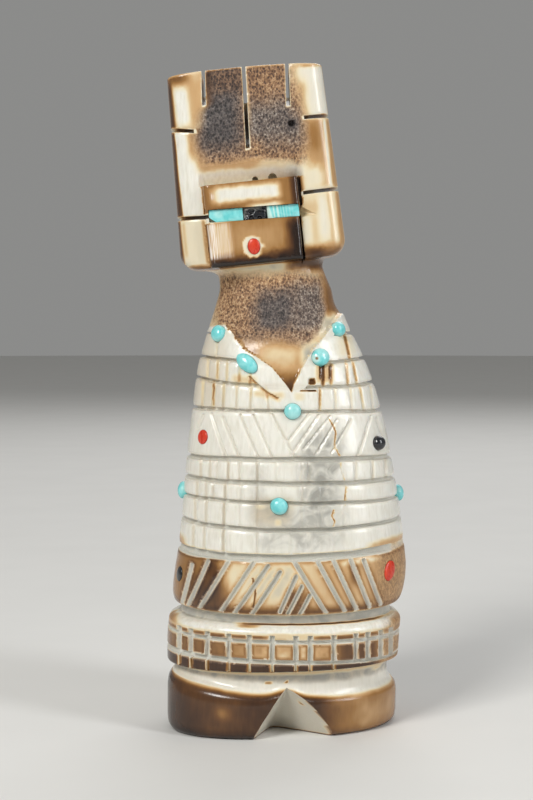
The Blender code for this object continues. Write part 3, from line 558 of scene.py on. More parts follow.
def face_depth(u, w):
    """How far the head's front lies behind its plane: the cove, the face block and its rounded ends."""
    ledge = np.clip((COVE_TOP - w) / (COVE_TOP - FACE_TOP), 0.0, 1.0) ** 1.6
    face_right = np.interp(w, FACE_RIGHT_ENDS[:, 0], FACE_RIGHT_ENDS[:, 1])
    recess_right = np.interp(w, FACE_RIGHT_ENDS[:, 0], FACE_RIGHT_ENDS[:, 2])
    ends = step(-0.45, 0.25, u - RECESS_LEFT) * step(-0.45, 0.25, recess_right - u)
    cove = COVE_DEPTH * ledge * ends
    from_left = np.clip(u - FACE_LEFT, 0.0, FACE_ROUND_LEFT)
    from_right = np.clip(face_right - u, 0.0, FACE_ROUND_RIGHT)
    rounding = corner(FACE_ROUND_LEFT, from_left) + corner(FACE_ROUND_RIGHT, from_right)
    on_block = (u > FACE_LEFT) & (u < face_right)
    rounding = rounding + corner(0.18, np.clip(FACE_TOP - w, 0.0, 0.18))
    block = np.where(on_block, np.minimum(rounding - FACE_PROUD, FACE_END_DROP), FACE_END_DROP)
    sides = step(0.0, 0.10, u - RECESS_LEFT) * step(0.0, 0.10, recess_right - u)
    return np.where(w > FACE_TOP, cove, block * sides)


def body_inset(turn, level):
    """How far the body's skin is cut in: girth, grooves, upright and slanting cuts, cracks and neckline."""
    x, y = on_oval(turn, BODY_ROUNDNESS)
    half, _, _, shift = body_form(level)
    place = half * x + shift
    front = y < -0.05
    inset = girth(place, level) + ROW_EASING * row_edges(level)
    inside_v = in_neckline(place, level) * front
    cuts = groove_depths(place, level)
    cuts = np.maximum(cuts, upright_depths(place, level) * front)
    cuts = np.maximum(cuts, slanting_depths(place, level) * front)
    cuts = np.maximum(cuts, belt_depths(turn, place, level, front))
    cuts = np.maximum(cuts, hem_depths_behind(turn, level))
    cuts = np.maximum(cuts, crack_depths(place, level) * front)
    cuts *= 1.0 - np.maximum(inside_v, on_lapels(place, level) * front)
    cuts = np.maximum(cuts, lapel_depths(place, level) * front * (1.0 - inside_v))
    above = step(DRESS_TOP, DRESS_TOP + 0.12, level) * step(*NECK_STEP_FADE, level)
    above = above * step(*NECK_STEP_BEGINS, place) * NECK_STEP_SHARE
    return inset + cuts + DRESS_STEP * np.maximum(inside_v * step(*V_FADE, level), above)


def girth(x, level):
    """How far in the skin lies at a level. The moccasins' upper edge rises to the cut between them."""
    rise, middle, reach = INSTEP_RISE
    rise = rise * np.exp(-((x - middle) / reach) ** 2)
    lifted = level - rise * step(1.5, 4.4, level) * step(7.2, 6.1, level)
    return eased(GIRTH[:, 0], GIRTH[:, 1], lifted)


def row_edges(level):
    """How near the dress rows' edges are, from 0 to 1, where each row is eased over."""
    away = np.min([np.abs(level - g[0]) - g[1] * MM / 2 for g in GROOVES[2:]], axis=0)
    return rim_of(away, ROW_EASING_REACH) * step(19.0, 19.5, level)


def rim_of(distance, reach):
    """How near the edge of a cut is, from 1 at the edge to 0 away from it."""
    return np.exp(-(np.maximum(distance, 0.0) / reach) ** 2)


def walled(inside):
    """From 0 to 1 over a short wall, from the distance inside an edge."""
    return step(0.0, SHORT_WALL, inside)


def in_neckline(x, level):
    """Inside the V of the neckline, from 0 to 1 across a short wall."""
    left = np.interp(level, NECKLINE_LEFT[:, 1], NECKLINE_LEFT[:, 0])
    right = np.interp(level, NECKLINE_RIGHT[:, 1], NECKLINE_RIGHT[:, 0])
    return walled(x - left) * walled(right - x) * (level > NECKLINE_LEFT[0, 1])


def on_lapels(x, level):
    """On the smooth lapels that run along the V, from 0 to 1."""
    left = np.interp(level, LAPEL_LEFT[:, 1], LAPEL_LEFT[:, 0])
    right = np.interp(level, LAPEL_RIGHT[:, 1], LAPEL_RIGHT[:, 0])
    inside = walled(x - left) * walled(right - x)
    return inside * step(LAPEL_LEFT[0, 1], LAPEL_LEFT[0, 1] + 0.3, level) * (level < DRESS_TOP)


def groove_depths(x, level):
    """Depth of the level grooves. Each strays a little up and down, as a hand-held saw does."""
    depth = np.zeros(np.broadcast(x, level).shape)
    for k, (place, width, deep, _) in enumerate(GROOVES):
        stray = GROOVE_STRAY * np.sin(0.9 * x + 2.1 * k)
        share = groove_share(k, x)
        depth = np.maximum(depth, trough(level - place - stray, width * MM, deep * MM) * share)
    return depth


def groove_share(k, x):
    """How deep a groove is at x, as a share. All grow shallower to the sides, and the dress's first ends."""
    sides = 1.0 - 0.35 * step(9.5, 12.5, np.abs(x - 0.5))
    if k == 2:
        return sides * (1.0 - 0.9 * step(10.6, 12.6, x)) * (1.0 - 0.6 * step(-10.9, -12.2, x))
    return sides


def upright_depths(x, level):
    """Depth of the short upright cuts of each row."""
    depth = np.zeros(np.broadcast(x, level).shape)
    for (low, high), cuts in ROW_CUTS:
        within = (level > low) & (level < high)
        for place, slant, share in cuts:
            middle = place + slant * (level - low) / (high - low)
            width = ROW_CUT_WIDTH * MM * (0.85 + 0.15 * share)
            deep = ROW_CUT_DEPTH * MM * min(share, 1.3)
            depth = np.maximum(depth, trough(x - middle, width, deep, 0.21) * within)
    return depth


def line_distance(x, z, ends):
    """Distance of points from the straight line between two places."""
    x0, z0, x1, z1 = ends
    length = math.hypot(x1 - x0, z1 - z0)
    along = ((x - x0) * (x1 - x0) + (z - z0) * (z1 - z0)) / length
    aside = ((x - x0) * (z1 - z0) - (z - z0) * (x1 - x0)) / length
    beyond = np.maximum(np.maximum(-along, along - length), 0.0)
    return np.hypot(aside, beyond)


def nearest_line(x, z, lines):
    """Distance of points from the nearest of some straight lines."""
    return np.min([line_distance(x, z, ends) for ends in lines], axis=0)


def straight_pieces(lines):
    """The straight pieces of lines through points, each as its two ends."""
    return [near + far for line in lines for near, far in zip(line[:-1], line[1:])]


def crack_depths(x, level):
    """Depth of the fine cracks."""
    return trough(nearest_line(x, level, straight_pieces(CRACKS)), CRACK_WIDTH * MM, CRACK_DEPTH * MM, 0.07)


def slanting_depths(x, level):
    """Depth of the chevrons of the upper band and of the slanting cuts of the hem."""
    chevrons = trough(nearest_line(x, level, CHEVRON_CUTS), CHEVRON_WIDTH * MM, CHEVRON_DEPTH * MM, 0.16)
    hem = trough(nearest_line(x, level, HEM_CUTS), HEM_CUT_WIDTH * MM, HEM_CUT_DEPTH * MM, 0.16)
    return np.maximum(chevrons, hem * step(13.45, 13.75, level))


def belt_depths(turn, x, level, front):
    """Depth of the belt's upright cuts, before and behind. To the right they stop at the lower groove."""
    within = (level > BELT_FOOT) & (level < BELT_TOP)
    before = np.zeros(np.broadcast(x, level).shape)
    for place in BELT_CUTS:
        low = BELT_FOOT if place < BELT_STUBS_END else LOWER_GROOVE
        width = BELT_CUT_WIDTH * MM * np.where(level < LOWER_GROOVE, BELT_STUB_SHARE, 1.0)
        cut = trough(x - place, width, BELT_CUT_DEPTH * MM) * (level > low)
        before = np.maximum(before, cut)
    spacing = math.pi / BELT_CUTS_BEHIND
    aside = (np.mod(turn - 2 * math.pi, spacing) - spacing / 2) * RADIUS_BEHIND
    behind = trough(aside, BELT_CUT_WIDTH * MM, BELT_CUT_DEPTH * MM) * (turn > 2 * math.pi)
    return np.where(front, before, behind) * within


def hem_depths_behind(turn, level):
    """Depth of the plainer slanting cuts round the back of the hem."""
    low, high = HEM_LEVELS_BEHIND
    spacing = math.pi / HEM_CUTS_BEHIND
    slant = HEM_SLANT_BEHIND * (np.clip((level - low) / (high - low), 0.0, 1.0) - 0.5)
    aside = (np.mod(turn - 2 * math.pi - slant, spacing) - spacing / 2) * RADIUS_BEHIND
    within = (level > low) & (level < high) & (turn > 2 * math.pi + 0.05) & (turn < 3 * math.pi - 0.05)
    return trough(aside, HEM_CUT_WIDTH * MM, HEM_CUT_DEPTH * MM * 0.8) * within


def lapel_depths(x, level):
    """Depth of the cuts along the outer edges of the lapels and of the corner pieces beside the right one."""
    away = nearest_line(x, level, straight_pieces(LAPEL_CUTS))
    depth = trough(away, LAPEL_CUT_WIDTH * MM, LAPEL_CUT_DEPTH * MM, 0.12)
    for x0, z0, wide, tall in LAPEL_CORNERS:
        inside = walled(wide - np.abs(x - x0)) * walled(tall - np.abs(level - z0))
        depth = np.maximum(depth, CORNER_CUT_DEPTH * MM * inside)
    return depth


def even_along(places, weight, count):
    """So many places, spaced by how much of the weight lies between them."""
    total = np.concatenate(((0.0,), np.cumsum((weight[1:] + weight[:-1]) / 2 * np.diff(places))))
    return np.interp(np.linspace(0.0, total[-1], count), total, places)


def half_ring_turns(half, deep, roundness, low, high, count):
    """Angles spaced evenly along a squared half oval from one angle to another."""
    turns = np.linspace(low, high, 4001)
    x, y = on_oval(turns, roundness)
    length = np.hypot(np.gradient(half * x, turns), np.gradient(deep * y, turns))
    return even_along(turns, length, count)


def column_turns(oval, roundness, roundness_behind):
    """Angles of the columns before and of those behind, spaced evenly along an oval of these half sizes."""
    half, front, back = oval
    before = half_ring_turns(half, front, roundness, math.pi, 2 * math.pi, FRONT_COLUMNS + 1)
    behind = half_ring_turns(half, back, roundness_behind, 2 * math.pi, 3 * math.pi, BACK_COLUMNS + 1)
    return before[:-1], behind[:-1]


def close_to(places, at, reach):
    """A weight of 1 near any of the places, fading over the reach."""
    return np.max([np.exp(-((at - p) / reach) ** 2) for p in places], axis=0)


def body_levels():
    """Levels of the body's rows, closer together at the grooves and edges."""
    fine = np.linspace(0.0, NECK_TOP, 5001)
    edges = [g[0] for g in GROOVES] + [0.3, 4.6, 7.38, 12.3, 13.5, DRESS_TOP]
    return even_along(fine, 1.0 + 1.6 * close_to(edges, fine, 0.55), BODY_ROWS)


def head_levels():
    """Heights of the head's rows, closer together at the block's and channel's edges."""
    fine = np.linspace(-HEAD_HALF_HEIGHT, HEAD_HALF_HEIGHT, 4001)
    edges = (-HEAD_HALF_HEIGHT, FACE_TOP, HEAD_HALF_HEIGHT)
    return even_along(fine, 1.0 + 3.0 * close_to(edges, fine, 0.22), HEAD_ROWS)


def head_skin(w):
    """The head's skin: front with its relief, square sides and a curved back, row by row."""
    above = w + HEAD_HALF_HEIGHT
    top_in = corner(CORNER_TOP, HEAD_HALF_HEIGHT - w)
    left = -head_half_width(w) + corner(CORNER_LEFT, above) + top_in
    right = head_half_width(w) - corner(CORNER_RIGHT, above) - top_in
    middle, half = (left + right) / 2, (right - left) / 2
    edge = corner(CORNER_BOTTOM, above) + top_in
    front = HEAD_FRONT - edge
    back = HEAD_BACK_BOTTOM + (HEAD_BACK_TOP - HEAD_BACK_BOTTOM) * above / (2 * HEAD_HALF_HEIGHT) - edge
    before, behind = column_turns(HEAD_OVAL, HEAD_SQUARENESS, HEAD_BACK_SQUARENESS)
    x0, y0 = on_oval(before, HEAD_SQUARENESS)
    x1, y1 = on_oval(behind, HEAD_BACK_SQUARENESS)
    y = np.concatenate((front[:, None] * y0, back[:, None] * y1), axis=1)
    x = np.concatenate((x0, x1))
    flat_front = (np.arange(len(x)) < FRONT_COLUMNS) * (1.0 - step(0.90, 0.985, np.abs(x)))
    u = middle[:, None] + half[:, None] * x
    rows = w[:, None] + 0.0 * u
    y = y + face_depth(u, rows) * flat_front
    easing = SLOT_RIM_DEPTH * MM * slot_nearness(u, rows) * flat_front
    skin = head_place(u, y + easing, rows + top_rise(u, rows))
    skin[..., 1] += pore_depths(skin, spongy_on_head(u, rows) * flat_front)
    skin += GROUND_UNEVEN * MM * (cloud(skin, 0.6 * MM, 61) - 0.5)[..., None]
    u0, w0, radius, deep = DEEP_PORE
    bored = (flat_front > 0.0) * (1.0 - step(radius * 0.55, radius, np.hypot(u - u0, rows - w0)))
    skin[..., 1] += deep * MM * bored
    return skin


def pore_depths(points, spongy):
    """Depth of the pits of the spongy core and of its slight hollow, for points where it shows."""
    depth = np.zeros(points.shape[:-1])
    where = spongy > 0.02
    places = points[where] * np.array((1.0, 1.0, 0.8))
    pits = 1.0 - step(0.18, 0.62, nearest_pit(places, PORE_SIZE * MM, 11))
    lumps = cloud(places, 1.1 * MM, 5) - 0.5
    depth[where] = spongy[where] * (0.08 * MM + PORE_DEPTH * MM * pits + 0.16 * MM * lumps)
    return depth


def carving_skin():
    """Every row of the carving from the middle of the sole to the middle of the tablet's top."""
    turns = np.concatenate(column_turns(BODY_OVAL, BODY_ROUNDNESS, BODY_ROUNDNESS))
    levels = body_levels()[:, None]
    inset = body_inset(turns[None, :], levels)
    facing = (turns < 2 * math.pi)[None, :]
    flat = body_point(turns[None, :], levels)
    neck = spongy_on_neck(flat[..., 0], levels + 0.0 * inset, facing)
    inset += pore_depths(flat, neck)
    body = body_point(turns[None, :], levels, inset)
    w = head_levels()
    head = head_skin(w)
    t = (np.arange(1, NECK_BLEND_ROWS) / NECK_BLEND_ROWS)[:, None, None]
    blend = body[-1] + (head[0] - body[-1]) * t ** 2.4
    blend[..., 2] = body[-1, :, 2] + (head[0, :, 2] - body[-1, :, 2]) * (1.0 - (1.0 - t[..., 0]) ** 1.8)
    t = np.linspace(0.02, 1.0, CAP_ROWS, endpoint=False)[:, None, None]
    sole_middle = body[0].mean(axis=0)
    top_middle = head[-1].mean(axis=0)
    sole = sole_middle + (body[0] - sole_middle) * t
    top = top_middle + (head[-1] - top_middle) * t[::-1]
    return np.concatenate((sole, body, blend, head, top)), sole_middle, top_middle


def signed_volume(rows, first, last):
    """Volume inside rows of points that go round, as pyramids over its faces. Below 0 it is inside out."""
    beside = np.roll(rows, -1, axis=1)
    a, b, c, d = rows[:-1], beside[:-1], beside[1:], rows[1:]
    wall = np.sum(a * (np.cross(b, c) + np.cross(c, d)))
    ends = np.sum(first * np.cross(beside[0], rows[0])) + np.sum(last * np.cross(rows[-1], beside[-1]))
    return (wall + ends) / 6.0


def closed_mesh(name, rows, first, last):
    """A closed skin over rows of points that go round, with a middle point at each end, facing outwards."""
    if signed_volume(rows, first, last) < 0:
        rows = rows[:, ::-1]
    count, columns = rows.shape[:2]
    points = np.concatenate((rows.reshape(-1, 3), first[None], last[None]))
    index = np.arange(count * columns).reshape(count, columns)
    following = np.roll(index, -1, axis=1)
    quads = np.stack((index[:-1], following[:-1], following[1:], index[1:]), axis=-1).reshape(-1, 4)
    low = np.stack((following[0], index[0], np.full(columns, len(points) - 2)), axis=-1)
    high = np.stack((index[-1], following[-1], np.full(columns, len(points) - 1)), axis=-1)
    loops = np.concatenate((quads.ravel(), low.ravel(), high.ravel()))
    sizes = np.concatenate((np.full(len(quads), 4), np.full(2 * columns, 3)))
    return mesh_object(name, points, loops, sizes)


def capped(name, rows):
    """A closed skin over rows whose ends are closed at their own middles."""
    return closed_mesh(name, rows, rows[0].mean(axis=0), rows[-1].mean(axis=0))


def mesh_object(name, points, loops, sizes):
    """A mesh object from whole arrays of points, of the faces' corners and of the faces' corner counts."""
    mesh = bpy.data.meshes.new(name)
    mesh.vertices.add(len(points))
    mesh.vertices.foreach_set("co", np.asarray(points, dtype=np.float32).ravel())
    mesh.loops.add(len(loops))
    mesh.loops.foreach_set("vertex_index", np.asarray(loops, dtype=np.int32))
    mesh.polygons.add(len(sizes))
    starts = np.concatenate(((0,), np.cumsum(sizes)[:-1]))
    mesh.polygons.foreach_set("loop_start", starts.astype(np.int32))
    mesh.update(calc_edges=True)
    mesh.validate()
    made = bpy.data.objects.new(name, mesh)
    bpy.context.scene.collection.objects.link(made)
    return made


def applied(obj):
    """Applies the object's modifiers to its mesh."""
    graph = bpy.context.evaluated_depsgraph_get()
    mesh = bpy.data.meshes.new_from_object(obj.evaluated_get(graph))
    obj.modifiers.clear()
    obj.data = mesh
    return obj


def thin_out(obj, most):
    """Merges triangles, the flattest and shortest first, down to about this many. The front keeps more."""
    triangles = sum(len(p.vertices) - 2 for p in obj.data.polygons)
    plain = obj.vertex_groups.new(name="plain")
    behind = places_of(obj)[:, 1] > 1.0
    plain.add(np.flatnonzero(behind).tolist(), PLAIN_BACK, "REPLACE")
    plain.add(np.flatnonzero(~behind).tolist(), PLAIN_FRONT, "REPLACE")
    thinner = obj.modifiers.new("fewer triangles", "DECIMATE")
    thinner.ratio = min(1.0, most / triangles)
    thinner.vertex_group = plain.name
    thinner.vertex_group_factor = PLAIN_COUNTS
    applied(obj)
    obj.vertex_groups.clear()


def carve(obj, cutters):
    """Takes all the cutters out of the object in one go and removes them."""
    drawer = bpy.data.collections.new("cutters")
    bpy.context.scene.collection.children.link(drawer)
    for cutter in cutters:
        bpy.context.scene.collection.objects.unlink(cutter)
        drawer.objects.link(cutter)
    saw = obj.modifiers.new("saw", "BOOLEAN")
    saw.operation = "DIFFERENCE"
    saw.operand_type = "COLLECTION"
    saw.solver = "EXACT"
    saw.collection = drawer
    applied(obj)
    for cutter in cutters:
        bpy.data.objects.remove(cutter, do_unlink=True)
    bpy.data.collections.remove(drawer)


def rings(turns, radii):
    """Circles of these radii round the origin, as two arrays of rows by columns."""
    return np.outer(radii, np.cos(turns)), np.outer(radii, np.sin(turns))


def wheel_middle(near, far, outward):
    """The middle of a wheel whose rim passes through two points, on the side that outward points to."""
    near, far, outward = np.array(near), np.array(far), np.array(outward)
    chord = far - near
    rise = math.sqrt((WHEEL_RADIUS * MM) ** 2 - float(chord @ chord) / 4)
    square = np.array((-chord[1], chord[0])) / math.hypot(*chord)
    if square @ outward < 0:
        square = -square
    return (near + far) / 2 + square * rise


def wheel(place, lean, about, middle, upright):
    """A saw wheel in the head: rings out to its rim on one side and back in on the other."""
    turns = np.linspace(0.0, 2 * math.pi, WHEEL_SIDES, endpoint=False)
    shares = np.linspace(0.06, 1.0, WHEEL_RINGS) * WHEEL_RADIUS * MM
    half = WHEEL_WIDTH * MM / 2
    sides = np.repeat((-half, half), WHEEL_RINGS)
    first, second = rings(turns, np.concatenate((shares, shares[::-1])))
    first, second = first + middle[0], second + middle[1]

    def placed(a, b, side):
        if upright:
            return head_place(place + lean * (b - about) + side, a, b)
        return head_place(a, b, place + lean * (a - about) + side)

    low = placed(middle[0], middle[1], -half)
    high = placed(middle[0], middle[1], half)
    return closed_mesh("wheel", placed(first, second, sides[:, None]), low, high)


def slot_wheels():
    """The wheels of the tablet's slots."""
    made = []
    for u, lean, front_tip, back_tip in TOP_SLOTS:
        middle = wheel_middle((-HEAD_FRONT, front_tip), (HEAD_BACK_TOP, back_tip), (0.0, 1.0))
        made.append(wheel(u, lean, HEAD_HALF_HEIGHT, middle, True))
    for w, lean, front, back in SIDE_SLOTS:
        middle = wheel_middle(front, back, (front[0], 0.0))
        made.append(wheel(w, lean, math.copysign(SIDE_SLOT_ROOT, front[0]), middle, False))
    return made


def overrun_cutter():
    """The hollow beside the eye channel: ovals that shrink along a line to a point, faster at first."""
    turns = np.linspace(0.0, 2 * math.pi, 40, endpoint=False)
    along = np.linspace(0.0, 1.0, 16)[:-1]
    size = (1.0 - along)[:, None] ** 1.7
    start, end = np.array(OVERRUN_START), np.array(OVERRUN_END)
    middle = start + (end - start) * along[:, None]
    y = middle[:, 1:2] + OVERRUN_SIZE[1] * size * np.sin(turns)
    w = middle[:, 2:3] + OVERRUN_SIZE[0] * size * np.cos(turns)
    rows = head_place(middle[:, 0:1] + 0.0 * y, y, w)
    return closed_mesh("overrun_cutter", rows, head_place(*start), head_place(*end))


def block_rows(low, high, squareness, lean=0.0):
    """Two rows of a rounded box in the head's frame between two corners of u, y and w. It may lean with u."""
    turns = np.linspace(0.0, 2 * math.pi, 48, endpoint=False)
    x, y = on_oval(turns, squareness)
    u = (low[0] + high[0]) / 2 + (high[0] - low[0]) / 2 * x
    w = (low[2] + high[2]) / 2 + (high[2] - low[2]) / 2 * y
    return np.stack([head_place(u, deep, w + lean * u) for deep in (low[1], high[1])])


def face_cutters():
    """The eye channel and the two drill holes above the forehead."""
    tall = BAR_HEIGHT / 2 + POCKET_GAP
    deep = BAR_FRONT - BAR_THICKNESS - POCKET_FLOOR
    low = (EYE_LEFT - POCKET_GAP, -BAR_FRONT - 1.2, EYE_LEVEL - tall)
    high = (EYE_RIGHT + POCKET_GAP, -deep, EYE_LEVEL + tall)
    shapes = [block_rows(low, high, 24.0, EYE_LEAN)]
    for u, radius in DRILL_HOLES:
        low = (u - radius, -HEAD_FRONT, DRILL_LEVEL - radius)
        high = (u + radius, -HEAD_FRONT + COVE_DEPTH + DRILL_DEPTH, DRILL_LEVEL + radius)
        shapes.append(block_rows(low, high, 2.0))
    return [capped("face_cutter", rows) for rows in shapes]


def feet_cutter():
    """The cut between the moccasins: a cone from its apex over a V on the floor, its heel a small curve."""
    heel = np.array((*NOTCH_HEEL, 0.0))
    left = heel + (np.array((*NOTCH_LEFT_TOE, 0.0)) - heel) * NOTCH_REACH
    right = heel + (np.array((*NOTCH_RIGHT_TOE, 0.0)) - heel) * NOTCH_REACH
    t = np.linspace(0.0, 1.0, 9)[:, None]
    near_left, near_right = heel + (left - heel) * 0.10, heel + (right - heel) * 0.10
    curve = near_left * (1 - t) ** 2 + heel * 2 * t * (1 - t) + near_right * t ** 2
    side = np.linspace(0.0, 1.0, 12, endpoint=False)[:, None]
    left_side, right_side = left + (near_left - left) * side, right + (near_right - right) * side[::-1]
    outline = np.concatenate((left_side, curve, right_side))
    apex = body_point(turn_at(*NOTCH_APEX), NOTCH_APEX[1], 0.85)
    shares = np.linspace(0.04, 1.1, 22)[:, None, None]
    rows = (apex + (outline - apex) * shares)[::-1]
    return closed_mesh("feet_cutter", rows, rows[0].mean(axis=0), apex)


def body_frame(turn, level):
    """The place, the outward direction and the upward direction of the body's skin."""
    small = 0.02
    place = body_point(turn, level)
    round_it = body_point(turn + small, level) - body_point(turn - small, level)
    up = body_point(turn, level + small) - body_point(turn, level - small)
    outward = np.cross(round_it, up)
    return place, outward / np.linalg.norm(outward), up / np.linalg.norm(up)


def stone_frame(place, outward, up, tilt):
    """The stone's place and its three directions, turned by the tilt."""
    across = np.cross(up, outward)
    across /= np.linalg.norm(across)
    up = np.cross(outward, across)
    c, s = math.cos(math.radians(tilt)), math.sin(math.radians(tilt))
    return place, outward, across * c + up * s, up * c - across * s


def dress_frame(x, height, tilt):
    """The frame of a stone on the dress, from its x and its height."""
    level = height
    for _ in range(3):
        turn = turn_at(x, level)
        level += height - float(body_point(turn, level)[2])
    return stone_frame(*body_frame(turn, level), tilt)


def mouth_frame():
    """The frame of the coral at the mouth."""
    y = -HEAD_FRONT + float(face_depth(np.array(MOUTH_PLACE[0]), np.array(MOUTH_PLACE[1])))
    up = np.array((-math.sin(HEAD_LEAN), 0.0, math.cos(HEAD_LEAN)))
    return stone_frame(head_place(MOUTH_PLACE[0], y, MOUTH_PLACE[1]), np.array((0.0, -1.0, 0.0)), up, 0)


def stone_places():
    """Name, kind, seat (place and directions), width, length and height of every round stone."""
    places = [(name, kind, dress_frame(x, z, tilt), width * MM, length * MM, rise * MM)
              for name, kind, x, z, width, length, tilt, rise in STONES]
    places.append(("mouth_coral", "coral", mouth_frame(), MOUTH_WIDTH * MM, MOUTH_LENGTH * MM, DOT * MM))
    return places


def oval_rows(seat, width, length, shares, heights, wobble, sides=64):
    """Rows of ovals square to a stone's outward direction: a share of its size at each height."""
    place, outward, across, up = seat
    turns = np.linspace(0.0, 2 * math.pi, sides, endpoint=False)
    uneven = 1.0 - wobble * (0.5 + 0.3 * np.cos(2 * turns + width * 9) + 0.2 * np.cos(5 * turns + length * 7))
    shares = np.asarray(shares)[:, None, None] * uneven[None, :, None]
    flat = across * (width / 2 * np.cos(turns))[:, None] + up * (length / 2 * np.sin(turns))[:, None]
    return place + flat * shares + outward * np.asarray(heights)[:, None, None]


def stone_pockets():
    """A pocket for every round stone, a hair wider than the stone."""
    made = []
    heights = (-STONE_SEAT - POCKET_FLOOR, -0.2, 1.2)
    for _, _, seat, width, length, _ in stone_places():
        wider, longer = width + 2 * POCKET_GAP, length + 2 * POCKET_GAP
        made.append(capped("pocket", oval_rows(seat, wider, longer, (1.0, 1.0, 1.0), heights, 0.02, 40)))
    return made


def layer(tables, values, a, b, noise_a, noise_b, mask):
    """Paints soft boxes over each other, in order, into the channels' values."""
    for channel, a0, a1, b0, b1, soft_a, soft_b, amount in tables:
        x, y = a + noise_a * soft_a, b + noise_b * soft_b
        inside = step(a0 - soft_a, a0 + soft_a, x) * (1.0 - step(a1 - soft_a, a1 + soft_a, x))
        inside *= step(b0 - soft_b, b0 + soft_b, y) * (1.0 - step(b1 - soft_b, b1 + soft_b, y))
        values[channel] += (amount - values[channel]) * inside * mask


# What the mesh stores at each point of the antler, and a place beyond the figure for boxes open to a side
CHANNELS = ("scorch_and_painted_light", "stain_and_painted_light", "core", "char", "pit", "fresh", "grey", "scratches_and_highlight")
FAR = 30.0

